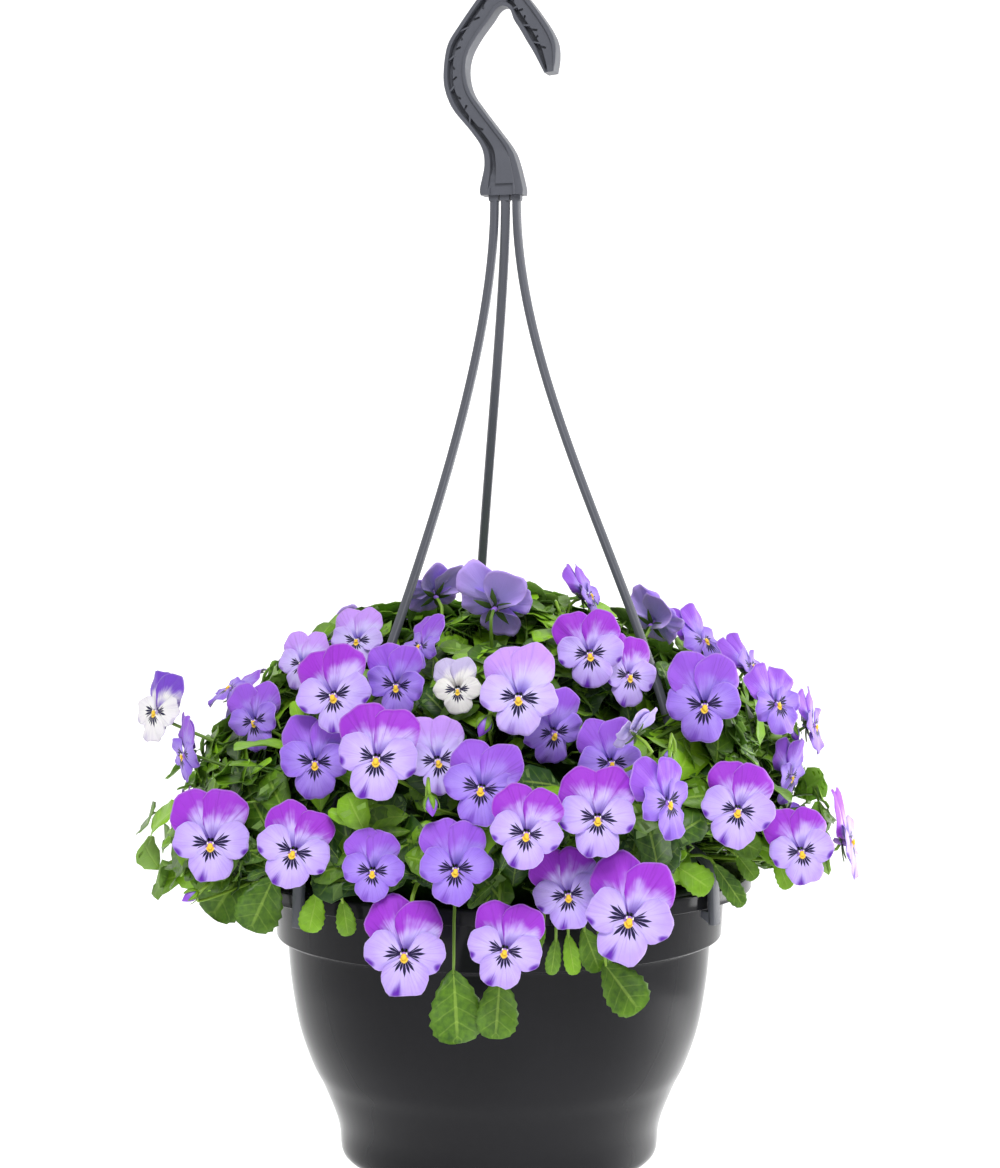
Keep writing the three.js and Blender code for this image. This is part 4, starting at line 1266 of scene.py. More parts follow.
@dataclass
class BloomForm:
    """Builds a bloom's petals, eye, beard, sepals and spur.

    Args:
        rows: points from root to rim.
        columns: points across a petal.
        root: how far from the bloom's middle a petal starts.
        sepal_bearings: the ways the five sepals point, from the bloom's right.
        sepal_length: their length.
        sepal_width: half their width.
    """

    rows: int = 10
    columns: int = 21
    root: float = 1.0
    sepal_bearings: tuple[float, ...] = (90, 18, 162, -54, 234)
    sepal_length: float = 10.5
    sepal_width: float = 1.6

    def petal(self, petal: Petal, scale: float, crumple: float, dice: Draw) -> Skin:
        """One petal. With f the angle off its axis over its half spread, the rim stands at length
        times cos(f 90 degrees) to the power 0.38, a little waved; the face rises by its lift times
        the square of the reach, folds back beside its axis and ruffles towards the rim.

        Args:
            petal: the petal.
            scale: the bloom's size.
            crumple: how strongly it is curled and ruffled.
            dice: the bloom's own draw.

        Returns:
            The petal as a closed sheet.
        """
        share = np.linspace(1, -1, self.columns)[None, :] * RIM_SHARE
        reach = np.linspace(0.05, 1, self.rows)[:, None] ** 0.9
        spread = share * math.radians(petal.spread * dice.uniform(0.94, 1.04))
        wave = dice.uniform(0, TURN, 4)
        size = petal.length * scale * dice.uniform(0.86, 0.93)
        rim = np.cos(share * math.pi / 2) ** 0.38 * (1 - petal.notch * np.exp(-((share / 0.14) ** 2)))
        rim = rim * (1 + 0.025 * np.sin(7 * spread + wave[0]) + 0.015 * np.sin(15 * spread + wave[1]))
        out = (size - self.root) * rim * reach
        x = out * np.sin(spread)
        y = self.root + out * np.cos(spread)
        ruffle = crumple * (0.8 * np.sin(5.5 * spread + wave[2]) + 0.4 * np.sin(12 * spread + wave[3]))
        curl = petal.lift + crumple * dice.uniform(-1.6, 1.2)
        tilt = crumple * dice.uniform(-1.3, 1.3) * share
        z = petal.layer + scale * ((curl + tilt) * reach**2 - 1.1 * np.abs(np.sin(spread)) * reach
                                   + 0.6 * np.sin(math.pi * reach) + ruffle * reach**3)
        angle = math.radians(petal.angle - 90 + crumple * dice.uniform(-5, 5))
        turned_x = x * math.cos(angle) - y * math.sin(angle)
        front = np.stack([turned_x, x * math.sin(angle) + y * math.cos(angle), z], axis=-1)
        back = front - UP * (0.5 - 0.3 * reach**4)[..., None]
        return sheets(front[None], back[None], {
            "lobe": petal.lobe, "reach": reach, "out": out / scale, "spread": spread,
            "shade": dice.uniform(), "mark": petal.mark,
        })

    def heart(self, scale: float, dice: Draw) -> list[Skin]:
        """The middle: a gold stigma, two white beards, five sepals behind, and the spur.

        Args:
            scale: the bloom's size.
            dice: the bloom's own draw.

        Returns:
            The skins, each closed.
        """
        eye = np.diag([1.25, 1.5, 0.8])[None] * scale
        beard = np.stack([np.diag([0.3, 0.6, 0.35])] * 2) * scale
        beards_at = np.array([[-1.2, 0.3, 0.8], [1.2, 0.3, 0.8]]) * scale
        parts = [balls(np.array([[0, -1.0, 1.1]]) * scale, eye, {"lobe": 4, "out": 9}),
                 balls(beards_at, beard, {"lobe": 3, "out": 9})]
        angle = np.radians(np.array(self.sepal_bearings) + dice.uniform(-6, 6, 5))[:, None, None]
        along = np.linspace(0.04, 1, 6)[None, :, None]
        aside = np.linspace(1, -1, 4)[None, None, :]
        out = self.sepal_length * scale * along
        half = self.sepal_width * scale * np.sin(math.pi * np.clip(along, 0, 0.985) ** 0.7) * aside
        x = out * np.cos(angle) + half * np.sin(angle)
        y = out * np.sin(angle) - half * np.cos(angle)
        z = np.broadcast_to(-3.8 - 1.6 * along + 1.6 * along**2 - 0.3 * np.abs(aside), x.shape)
        front = np.stack([x, y, z], axis=-1)
        green = {"lobe": 5.0, "shade": along * 0.6, "reach": along * 0.5}
        parts.append(sheets(front, front - [0, 0, 0.35], green))
        spur = np.array([[0, -0.8, 0.2], [0, -1.2, -3.5], [0, -0.6, -5.5], [0, 1.2, -7.5]])
        thick = np.array([1.9, 1.8, 1.6, 1.4, 1.3, 1.25, 0.8]) * scale
        violet = {"lobe": 0.0, "reach": 0.5, "out": 12.0, "shade": 0.4}
        path = bezier(spur, len(thick))[None] * scale
        parts.append(tubes(path, round_section(thick[None], 8), np.array([[1.0, 0, 0]]), violet))
        return parts

    def skins(self, bloom: Bloom, seed: int) -> list[Skin]:
        """Every skin of a bloom, in its place.

        Args:
            bloom: where and how it stands.
            seed: its own draw's seed.

        Returns:
            The skins.
        """
        dice = np.random.default_rng(seed)
        crumple = CRUMPLE[bloom.tone] * dice.uniform(0.8, 1.2)
        parts = [self.petal(petal, bloom.scale, crumple, dice) for petal in PETALS]
        parts += self.heart(bloom.scale, dice)
        axes = bloom.axes()
        return [part.placed(axes, bloom.at) for part in parts]


# ---- Leafy stems ----
@dataclass
class Leaf:
    """One leaf of the layout.

    Args:
        foot: where its blade starts.
        tip: the way it points.
        face: the way its upper side faces.
        length: its blade's length.
        width: its blade's width.
        arch: how far its tip drops.
        hangs: whether its stalk passes over the rim.
    """

    foot: Array
    tip: Array
    face: Array
    length: float
    width: float
    arch: float
    hangs: bool = False

    def samples(self) -> Array:
        """Points along its midrib and edges for the clearance tests."""
        side = unit(np.cross(self.tip, self.face))
        up = np.cross(side, self.tip)
        y = np.array([0, 0.3, 0.55, 0.8, 1])[:, None, None]
        spread = np.array([0.1, 1, 1, 1, 0.1])[:, None, None]
        x = np.array([-0.5, -0.25, 0, 0.25, 0.5])[None, :, None] * spread
        grid = self.foot + self.tip * y * self.length + side * x * self.width - up * self.arch * y * y
        return grid.reshape(-1, 3)


# Room that a wedge leaves at a side where a strand runs, and at any other side.
STRAND_ROOM = 3.4
PLAIN_ROOM = 0.3


@dataclass(frozen=True)
class Wedge:
    """The share of the dome that one stem system fills.

    Args:
        name: its CAD node.
        start: bearing of its first side.
        end: bearing of its second side.
        leaves: leaves of the layout.
        seed: seed of the layout's draw.
        far: its blooms on the far side.
    """

    name: str
    start: float
    end: float
    leaves: int
    seed: int
    far: tuple[tuple, ...] = ()

    def room(self, points: Array) -> Array:
        """How far points are inside the wedge, beyond the room it leaves at its sides."""
        a, b = around(self.start, 1.0, 0.0), around(self.end, 1.0, 0.0)
        first = a[0] * points[..., 1] - a[1] * points[..., 0] - self.side_room(self.start)
        return np.minimum(first, points[..., 0] * b[1] - points[..., 1] * b[0] - self.side_room(self.end))

    def side_room(self, bearing: float) -> float:
        """Room at a side: more where a strand runs in it."""
        return STRAND_ROOM if any((bearing - side.value[1]) % 360 == 0 for side in Side) else PLAIN_ROOM

    def holds(self, point: Array) -> bool:
        """Whether a point's bearing lies in the wedge."""
        bearing = float(bearing_of(point)) % 360
        return any(self.start < b <= self.end for b in (bearing - 360, bearing))

    def root_of(self, place: Array) -> Array:
        """Where a stalk to some place grows from, inside the dense middle.

        Args:
            place: where the stalk leads.

        Returns:
            The stalk's root.
        """
        middle = (self.start + self.end) / 2
        off = (float(bearing_of(place)) - middle + 180) % 360 - 180
        out = math.hypot(place[0], place[1])
        inward = 0.6 / math.hypot(out / DOME.radius, (place[2] - DOME.centre) / DOME.height)
        height = max(DOME.centre + (place[2] - DOME.centre) * inward, 156)
        return around(middle + 0.75 * off, max(out * inward, 34), height)


WEDGES = (
    Wedge("plant_front", -46, 51, 20, 7),
    Wedge("spray_right_front", 51, 98, 6, 11),
    Wedge("spray_right_back", 98, 141, 6, 12, ((110, 4, 0.95, 1.0, -8), (126, 28, 0.98, 0.95, 10))),
    Wedge("spray_back_right", 141, 188, 6, 13,
          ((160, 2, 1.0, 1.05, 8), (171, 22, 0.98, 1.0, -8), (150, 40, 0.97, 0.95, 4))),
    Wedge("spray_back_left", 188, 225, 6, 14,
          ((200, 0, 0.99, 1.0, -6), (216, 28, 0.98, 0.95, 6), (203, 48, 0.97, 0.95, 0))),
    Wedge("spray_left_back", 225, 265, 6, 15,
          ((236, 4, 0.96, 1.0, 6), (252, 26, 0.97, 0.95, -6), (238, 52, 0.97, 0.95, 8))),
    Wedge("spray_left_front", 265, 314, 6, 16, ((274, 6, 0.95, 0.95, -4),)),
)


# Leaves that hang over the rim: across, up, distance in front of the axis, length, width, lean.
HANGING_LEAVES = (
    (-20.5, 119, 138, 33, 24, 4), (0.5, 116, 138, 28, 19, -4), (47, 121, 133, 27, 20, 38),
    (-120, 156, 68, 31, 24, -34), (-106, 152, 82, 28, 22, -24), (100, 160, 96, 24, 10, 36),
)


# Small leaves of the sprigs that hang between the blooms, in the same terms.
SPRIG_LEAVES = (
    (26, 132, 131, 17, 7, -8), (31, 134, 131, 19, 8, 10), (38, 136, 129, 21, 13, 22),
    (21, 137, 132, 15, 7, -32), (44, 132, 127, 14, 8, 34), (-72, 146, 112, 17, 9, 10),
    (-84, 148, 104, 19, 12, -12), (81, 160, 98, 21, 14, 58), (88, 166, 92, 17, 10, -20),
    (106, 172, 84, 19, 13, 66), (112, 162, 80, 15, 9, 40), (132, 160, 66, 18, 9, 22),
    (122, 164, 74, 17, 12, 74),
)


@dataclass(frozen=True)
class Bud:
    """A nodding bud: its stalk rises, hooks over and holds it tip down.

    Args:
        across: its distance to the right, as it is seen from the front.
        up: its height, as it is seen from the front.
        lift: share of the dome's size that it stands at.
        length: from its calyx to its tip.
        lean: turn of its tip from straight down, to the right, in degrees.
        shade: its depth of colour.
    """

    across: float
    up: float
    lift: float
    length: float
    lean: float
    shade: float

    def skins(self, root: Array) -> list[Skin]:
        """The furled petals, an egg drawn out to a tip; five pointed sepals that clasp it for two
        thirds of its length; and the hooked stalk.

        Args:
            root: where its stalk grows from.

        Returns:
            The skins; petals take the first finish, sepals and stalk the second.
        """
        at = DOME.seen(self.across, self.up, self.lift)
        lean = math.radians(self.lean)
        tip = unit(np.array([math.sin(lean), -0.2, -math.cos(lean)]))
        side = unit(np.cross(tip, [0.0, 1.0, 0.0]))
        front = np.cross(side, tip)
        share = np.linspace(0.02, 0.98, 9)
        thick = 0.3 * self.length * np.sin(math.pi * share**0.8) ** 0.9
        path = at + tip * (share * self.length)[:, None]
        violet = {"lobe": 0.0, "reach": share[None, :, None], "out": 9.0,
                  "shade": self.shade}
        petals = tubes(path[None], round_section(thick[None], 10), side[None], violet)
        angle = (TURN * np.arange(5) / 5)[:, None, None, None]
        along = np.linspace(0, 1, 6)[None, :, None, None]
        aside = np.linspace(1, -1, 3)[None, None, :, None]
        out = np.cos(angle) * side + np.sin(angle) * front
        across = np.cos(angle) * front - np.sin(angle) * side
        away = 0.5 + 0.31 * self.length * np.sin(math.pi * (0.68 * along) ** 0.8) + 0.8 * along**3
        half = 0.13 * self.length * np.sin(math.pi * (0.12 + 0.86 * along) ** 0.8)
        blade = at + tip * along * 0.72 * self.length + out * away + across * half * aside
        green = {"along": along[..., 0], "aside": 0.5 * aside[..., 0], "shade": 0.55}
        sepals = sheets(blade, blade - 0.3 * out, green, finish=1)
        rise = at - tip * 5.5 + np.array([0, 3.0, 1.0])
        stops = np.array([root, at + np.array([0, 9.0, -6.0]), rise, at - 2.2 * tip, at + 0.4 * tip])
        steps = 20
        path = even_steps(smooth_run(stops, 8), steps)[None]
        section = round_section(np.full((1, steps), 0.75), 7)
        stalk = tubes(path, section, side[None], {"stalk": 1.0, "shade": 0.7}, finish=1)
        return [petals, sepals, stalk]


BUDS = (
    Bud(-35, 180, 0.98, 10, 8, 0.4), Bud(-5, 220, 0.92, 11, -25, 0.8), Bud(31, 272, 0.92, 9, 25, 0.3),
    Bud(148, 215, 0.94, 9, 20, 0.6), Bud(-152, 131, 0.98, 9, -60, 0.2), Bud(86, 203, 0.99, 8, -15, 0.5),
)


# Shade numbers, from and to, of the large hanging leaves, kept darker, and of the other leaves, whose bright
# end is partly painted light.
LARGE_HANGING_SHADES = (0.15, 0.3)
OTHER_LEAF_SHADES = (0.3, 0.9)
# Share of the small leaves that stand out of the dome low down, how far, and share of slim leaves.
STRAY_SHARE, STRAY_LIFT, SLIM_SHARE = 0.06, 0.07, 0.2
# The flat round slab that stays clear about a bloom of size 1: its radius, and its room before and
# behind the bloom's middle.
SLAB_RADIUS, SLAB_FRONT, SLAB_BACK = 29.0, 3.4, 8.5
# Radius of the face of a bloom of size 1 that no small leaf hides.
FACE_RADIUS = 18.0
# Square of the distance that small leaves keep from the strands, 5.5 mm.
STRAND_GAP_SQUARED = 30.0
# Size of the shaded heap inside, a dark dome of painted shade, as a share of the dome, and the height of its
# foot.
CORE_SHARE, CORE_FOOT = 0.62, 154.0
# Windows in the planting where the strands' clips show, as they are seen from the front: across
# from and to, up from and to, and the y before which nothing stands in them.
CLIP_WINDOWS = ((-111, -97, 112, 144, -91), (99, 119, 110, 155, -82))


# How low the small leaves hang: bearings in degrees and heights.
SKIRT = ((-180, -110, -85, -62, -50, -40, -5, 14, 30, 40, 46, 60, 66, 80, 110, 180),
         (142, 134, 128, 136, 150, 148, 142, 124, 146, 150, 156, 158, 148, 142, 140, 142))


@dataclass
class Planting:
    """All blooms, and the leafy stems of every wedge.

    Args:
        pot: the pot that the plants stand in.
        front: the blooms that show from the front.
        tries: small leaves that are tried for each degree of a wedge.
    """

    pot: Pot
    front: list[Bloom] = field(default_factory=lambda: [Bloom.from_front(row) for row in FRONT_BLOOMS])
    tries: int = 23

    def far_blooms(self, wedge: Wedge) -> list[Bloom]:
        """The blooms of a wedge's far side, in turn crowned and plain."""
        tones = (Tone.CROWN, Tone.LILAC, Tone.CROWN, Tone.PALE)
        return [Bloom.on_far_side(row, tones[k % 4]) for k, row in enumerate(wedge.far)]

    def every_bloom(self) -> list[Bloom]:
        """The front's blooms and the far ones."""
        return self.front + [bloom for wedge in WEDGES for bloom in self.far_blooms(wedge)]

    def clear_of_blooms(self, points: Array, margin: float) -> Array:
        """Whether points are outside a flat round slab about every bloom's petals.

        Args:
            points: (..., 3) points.
            margin: extra room.

        Returns:
            Truth for each point.
        """
        blooms = self.every_bloom()
        at = np.array([b.at for b in blooms])
        face = np.array([b.face for b in blooms])
        scale = np.array([b.scale for b in blooms])
        off = points[..., None, :] - at
        depth = (off * face).sum(-1)
        across = np.sqrt(np.maximum((off**2).sum(-1) - depth**2, 0))
        clear = (depth > SLAB_FRONT + margin) | (depth < -SLAB_BACK - margin)
        clear |= across > SLAB_RADIUS * scale + margin
        return clear.all(axis=-1)

    def clear_of_pot(self, points: Array, margin: float) -> Array:
        """Whether points are clear of the pot and the soil."""
        r, z = np.hypot(points[..., 0], points[..., 1]), points[..., 2]
        inside = (r < self.pot.collar_radius - self.pot.wall - 4) & (z > 132 + margin)
        return (z > self.pot.height + margin) | (r > self.pot.rim_radius + margin) | inside

    def hides_bloom(self, points: Array) -> Array:
        """Whether points stand between the eye and the face of a bloom that shows from the front.

        Args:
            points: (..., 3) points.

        Returns:
            Truth for each point.
        """
        eye = np.array(DOME.eye)
        at = np.array([b.at for b in self.front])
        size = np.array([b.scale for b in self.front])
        to_bloom = at - eye
        far = np.linalg.norm(to_bloom, axis=-1)
        sight = to_bloom / far[:, None]
        off = points[..., None, :] - eye
        along = (off * sight).sum(-1)
        aside = np.sqrt(np.maximum((off**2).sum(-1) - along**2, 0)) * far / np.maximum(along, 1)
        return ((along < far) & (aside < FACE_RADIUS * size)).any(axis=-1)

    def hides_clip(self, points: Array) -> Array:
        """Whether points stand between the eye and a strand's clip in front.

        Args:
            points: (..., 3) points.

        Returns:
            Truth for each point.
        """
        eye = np.array(DOME.eye)
        near = eye[1] / (eye[1] - points[..., 1])
        across, up = points[..., 0] * near, eye[2] + (points[..., 2] - eye[2]) * near
        hidden = np.zeros(points.shape[:-1], bool)
        for left, right, low, high, depth in CLIP_WINDOWS:
            hidden |= (across > left) & (across < right) & (up > low) & (up < high) & (points[..., 1] < depth)
        return hidden

    def flower_stalk(self, wedge: Wedge, bloom: Bloom) -> Array:
        """A flower stalk from the dense middle to the back of its bloom, over the rim if it hangs.

        Args:
            wedge: the wedge it grows in.
            bloom: its bloom.

        Returns:
            Its (n, 3) stops.
        """
        last = bloom.bend()
        stops = [wedge.root_of(last)]
        if last[2] < self.pot.height + 7:
            stops.append(around(float(bearing_of(last)), self.pot.rim_radius + 1, self.pot.height + 10))
        return np.array([*stops, last, bloom.at - bloom.face * 4.4])

    def leaf_stalk(self, wedge: Wedge, leaf: Leaf) -> Array:
        """The stops of a leaf's stalk, from the dense middle to its foot."""
        start, end = wedge.root_of(leaf.foot), leaf.foot + 2 * leaf.tip
        height = max(self.pot.height + 9, leaf.foot[2] + 3)
        over = around(float(bearing_of(leaf.foot)), self.pot.rim_radius + 3, height)
        return np.array([start, over, end] if leaf.hangs else [start, end])

    def draw_leaf(self, wedge: Wedge, dice: Dice) -> Leaf:
        """One leaf of the layout, just under the dome, its tip outward and its face up and out.

        Args:
            wedge: the wedge it grows in.
            dice: the wedge's draw.

        Returns:
            The leaf.
        """
        bearing = wedge.start + (wedge.end - wedge.start) * dice()
        rise = math.radians(2 + 76 * dice() ** 1.3)
        lift = 0.8 + 0.17 * dice()
        length = 24 + 10 * dice()
        radial = around(bearing, 1.0, 0.0)
        foot = radial * DOME.radius * lift * math.cos(rise)
        foot[2] = DOME.centre - 8 + DOME.height * lift * math.sin(rise)
        sway = around(bearing + 90, 1.0, 0.0) * 1.3 * (dice() - 0.5)
        tip = unit(radial * 0.9 + sway + np.array([0, 0, 0.5 - 1.1 * dice()]))
        face = unit(radial * 0.5 + np.array([0, 0, 0.8]) + sway * 0.4 * dice())
        width = length * (0.62 + 0.12 * dice())
        return Leaf(foot - 0.6 * length * tip, tip, face, length, width, 3 + 4 * dice())

    def hanging(self, wedge: Wedge, rows: Sequence[tuple[float, ...]]) -> list[Leaf]:
        """The leaves that hang over the rim in a wedge.

        Args:
            wedge: the wedge.
            rows: foot across, foot up, reach to the front, length, width and lean of each leaf.

        Returns:
            The leaves whose foot the wedge holds.
        """
        leaves = []
        for across, up, reach, length, width, lean in rows:
            turn = math.radians(lean)
            foot = np.array([across, -reach, up], float)
            tip = unit(np.array([math.sin(turn), -0.12, -math.cos(turn)]))
            if wedge.holds(foot):
                leaves.append(Leaf(foot, tip, unit(np.array([0.1, -1, 0.25])), length, width, 2, hangs=True))
        return leaves

    def leaf_fits(self, wedge: Wedge, leaf: Leaf, stalks: list[Array], taken: list[Array]) -> bool:
        """Whether a leaf of the layout is clear of blooms, pot, sides, stalks and other leaves.

        Args:
            wedge: the wedge it grows in.
            leaf: the leaf.
            stalks: stops of the flower stalks.
            taken: samples of the leaves placed so far.

        Returns:
            Whether it fits.
        """
        stalk = self.leaf_stalk(wedge, leaf)
        samples = leaf.samples()
        points = np.concatenate([samples, [stalk[0] + (stalk[1] - stalk[0]) * t for t in (0.25, 0.5, 0.75)]])
        clear = (wedge.room(points) > 0.5) & self.clear_of_pot(points, 2.5) & self.clear_of_blooms(points, 1)
        if not clear.all():
            return False
        if stalks:
            starts = np.concatenate([s[:-1] for s in stalks])
            run = np.concatenate([s[1:] for s in stalks]) - starts
            off = samples[5:, None] - starts
            share = np.clip((off * run).sum(-1) / np.maximum((run**2).sum(-1), 1e-9), 0, 1)
            if (np.linalg.norm(off - share[..., None] * run, axis=-1) <= 2.4).any():
                return False
        return all((((samples[:, None] - other) ** 2).sum(-1) > 20).all() for other in taken)

    def layout_leaves(self, wedge: Wedge, stalks: list[Array], given: list[Leaf]) -> list[Leaf]:
        """The leaves that the wedge's solid holds.

        Args:
            wedge: the wedge.
            stalks: stops of its flower stalks.
            given: its hanging leaves.

        Returns:
            The leaves, in the order they were drawn.
        """
        dice = Dice(wedge.seed)
        leaves: list[Leaf] = []
        taken = [leaf.samples() for leaf in given]
        for _ in range(1500):
            if len(leaves) == wedge.leaves:
                break
            leaf = self.draw_leaf(wedge, dice)
            if self.leaf_fits(wedge, leaf, stalks, taken):
                leaves.append(leaf)
                taken.append(leaf.samples())
        return leaves

    def blades(self, leaves: Values, rows: int, columns: int, dice: Draw) -> Skin:
        """Leaf blades. Over y from foot to tip and s from edge to edge, half the width is
        1.03 width y^0.75 (1 - y)^0.38, more and less in turn for the round teeth; the blade is folded
        along its midrib, drops by its arch times y squared and ripples at its edge.

        Args:
            leaves: foot, tip, face, length, width and arch of the leaves, (n, 3) or (n).
            rows: points along a blade.
            columns: points across it.
            dice: a seeded draw.

        Returns:
            One skin of closed blades.
        """
        count = len(leaves["length"])
        side = unit(np.cross(leaves["tip"], leaves["face"]))
        up = np.cross(side, leaves["tip"])
        step = np.arange(rows) / (rows - 1)
        y = ((1 - np.cos(math.pi * np.clip(step, 0.03, 0.985))) / 2)[None, :, None]
        s = np.linspace(1, -1, columns)[None, None, :]
        tooth = (1 + 0.055 * np.where(np.arange(rows) % 2, 1, -1))[None, :, None]
        length, width, arch = (leaves[key][:, None, None] for key in ("length", "width", "arch"))
        half = 1.03 * width * y**0.75 * (1 - y) ** 0.38 * tooth
        phase = dice.uniform(0, TURN, (count, 1, 1))
        twist = dice.uniform(-0.25, 0.25, (count, 1, 1))
        x = half * s
        ripple = 0.05 * width * np.sin(TURN * 1.6 * y + phase) * s**2 * np.sign(s)
        z = -arch * y**2 + 0.16 * np.abs(x) + ripple + twist * x * y
        front = (leaves["foot"][:, None, None] + x[..., None] * side[:, None, None]
                 + (y * length)[..., None] * leaves["tip"][:, None, None] + z[..., None] * up[:, None, None])
        thick = (0.32 - 0.14 * np.abs(s)) + 0 * y
        back = front - thick[..., None] * up[:, None, None]
        return sheets(front, back, {"along": y, "aside": s, "shade": leaves["shade"][:, None, None]})

    def mass(self, wedge: Wedge, dice: Draw, count: int) -> Values:
        """The many small leaves between the layout's: tips out, up or down, faces up and out.

        Args:
            wedge: the wedge they fill.
            dice: a seeded draw.
            count: how many are tried.

        Returns:
            Arrays of the leaves that are clear of the blooms, the pot and the strands.
        """
        bearing = dice.uniform(wedge.start, wedge.end, count)
        rise = np.arcsin(dice.uniform(-0.04, 1.0, count))
        lift = 0.7 + 0.28 * dice.uniform(0, 1, count) ** 0.6
        stray = (dice.uniform(0, 1, count) < STRAY_SHARE) & (rise < 0.5)
        lift += STRAY_LIFT * stray
        slim = dice.uniform(0, 1, count) < SLIM_SHARE
        length = np.where(slim, dice.uniform(12, 22, count), dice.uniform(18, 30, count))
        centre = DOME.centre - 2
        place = around(bearing, DOME.radius * lift * np.cos(rise), centre + DOME.height * lift * np.sin(rise))
        squash = np.array([DOME.radius, DOME.radius, DOME.height]) ** 2
        normal = unit((place - [0, 0, centre]) / squash)
        side = around(bearing + 90, 1.0, 0.0)
        turn = dice.uniform(-2.3, 2.3, count)[:, None]
        along = np.cos(turn) * np.cross(normal, side) + np.sin(turn) * side
        tip = unit(0.85 * along + dice.uniform(0.1, 0.8, (count, 1)) * normal - 0.15 * UP)
        face = unit(normal - 0.3 * along + 0.4 * UP + dice.uniform(-0.3, 0.3, (count, 3)))
        foot = place - 0.55 * length[:, None] * tip
        width = length * np.where(slim, dice.uniform(0.26, 0.38, count), dice.uniform(0.58, 0.8, count))
        # Shade numbers of the small leaves: a random tone plus a lift term that darkens them deep in the
        # planting as painted shade and lightens them at its surface as painted light.
        leaves = {"foot": foot, "tip": tip, "face": face, "length": length, "width": width,
                  "arch": dice.uniform(0.05, 0.2, count) * length,
                  "shade": np.clip(dice.uniform(0, 1, count) ** 1.4 + 2.0 * (lift - 0.88), 0, 1)}
        side = unit(np.cross(tip, face))
        y = np.array([0.0, 0.35, 0.7, 1.0])[None, :, None]
        spots = [foot[:, None] + tip[:, None] * y * length[:, None, None]
                 + side[:, None] * x * width[:, None, None] for x in (-0.42, 0.0, 0.42)]
        points = np.concatenate(spots, axis=1)
        keep = self.clear_of_blooms(points, -0.8).all(axis=1) & self.clear_of_pot(points, 1.5).all(axis=1)
        keep &= (wedge.room(points) > -14).all(axis=1) & ~self.hides_bloom(points).any(axis=1)
        keep &= (points[..., 2] > np.interp(bearing_of(points), *SKIRT)).all(axis=1)
        keep &= self.clear_of_strands(points).all(axis=1) & ~self.hides_clip(points).any(axis=1)
        return {name: value[keep] for name, value in leaves.items()}

    def clear_of_strands(self, points: Array) -> Array:
        """Whether points are clear of the strands, each taken in the upright plane of its clip.

        Args:
            points: (..., 3) points.

        Returns:
            Truth for each point.
        """
        clear = np.ones(points.shape[:-1], bool)
        for side in Side:
            strand = Strand(side, Hook())
            out = around(side.value[1], 1.0, 0.0)
            line = even_steps(strand.stops(strand.reach_out), 80)
            spine = line[:, :1] * out + line[:, 2:] * UP
            for part in spine:
                clear &= ((points - part) ** 2).sum(-1) > STRAND_GAP_SQUARED
        return clear

    def stems(self, runs: list[Array], radius: float, corners: int, steps: int, dice: Draw) -> Skin:
        """Round stems through their stops, each one smooth and evenly stepped.

        Args:
            runs: the stops of each stem.
            radius: its radius half way.
            corners: points round it.
            steps: points along it.
            dice: a seeded draw.

        Returns:
            One skin of all stems.
        """
        paths = np.array([even_steps(smooth_run(run, 8), steps) for run in runs])
        chord = paths[:, -1] - paths[:, 0]
        across = unit(np.cross(chord, [0, 0, 1.0]) + 1e-4)
        taper = np.linspace(1.15, 0.85, steps)[None]
        section = round_section(np.broadcast_to(radius * taper, (len(runs), steps)), corners)
        shade = dice.uniform(0.1, 0.9, (len(runs), 1, 1))
        return tubes(paths, section, across, {"stalk": 1.0, "shade": shade})

    def petioles(self, leaves: Values, dice: Draw) -> Skin:
        """Short curved stalks of the small leaves: out of the middle, bowed up to the leaf's foot.

        Args:
            leaves: the small leaves' arrays.
            dice: a seeded draw.

        Returns:
            One skin of all stalks.
        """
        end = leaves["foot"] + 1.5 * leaves["tip"]
        start = end * [0.8, 0.8, 0.86] + np.array([0, 0, 0.14 * DOME.centre])
        start[:, 2] = np.maximum(start[:, 2], 150)
        knee = end - leaves["tip"] * leaves["length"][:, None] * 0.3
        knee[:, 2] = np.maximum(knee[:, 2], np.minimum(end[:, 2] + 3, 152))
        steps = 4
        paths = bezier(np.stack([start, (start + knee) / 2, knee, end], axis=1), steps)
        section = round_section(np.full((len(end), steps), 0.6), 3)
        across = unit(np.cross(end - start, [0.0, 0.1, 1.0]) + 1e-4)
        shade = dice.uniform(0.0, 0.5, (len(end), 1, 1))
        return tubes(paths, section, across, {"stalk": 1.0, "shade": shade})

    def painted_shade_core(self) -> Skin:
        """A dark lumpy dome share over the soil deep inside, coloured the darkest green as painted shade in
        the gaps between leaves and stems.
        """
        rise = np.radians(np.linspace(0, 90, 14))[1:]
        low = np.array([[0, 133.0], [88, 133], [98, 146], [104, 152]])
        radius, height = CORE_SHARE * DOME.radius, CORE_SHARE * DOME.height
        dome = np.stack([radius * np.cos(rise), CORE_FOOT + height * np.sin(rise)], axis=1)
        skin = turned(np.concatenate([low, dome]), 64)
        x, y, z = skin.points.T
        waves = (0.13, 0.29, 0.61)
        lumps = sum(np.sin(x * f) * np.sin(y * f * 1.2 + 1) * np.sin(z * f * 0.9 + 2) for f in waves)
        skin.points += unit(skin.points - [0, 0, 140]) * (2.2 * lumps * (z > 150))[:, None]
        # Shade 0.02 takes the darkest green: painted shade.
        values = {"stalk": 0.0, "shade": 0.02, "aside": 1.0}
        skin.values = {name: np.full(len(x), value) for name, value in values.items()}
        return skin

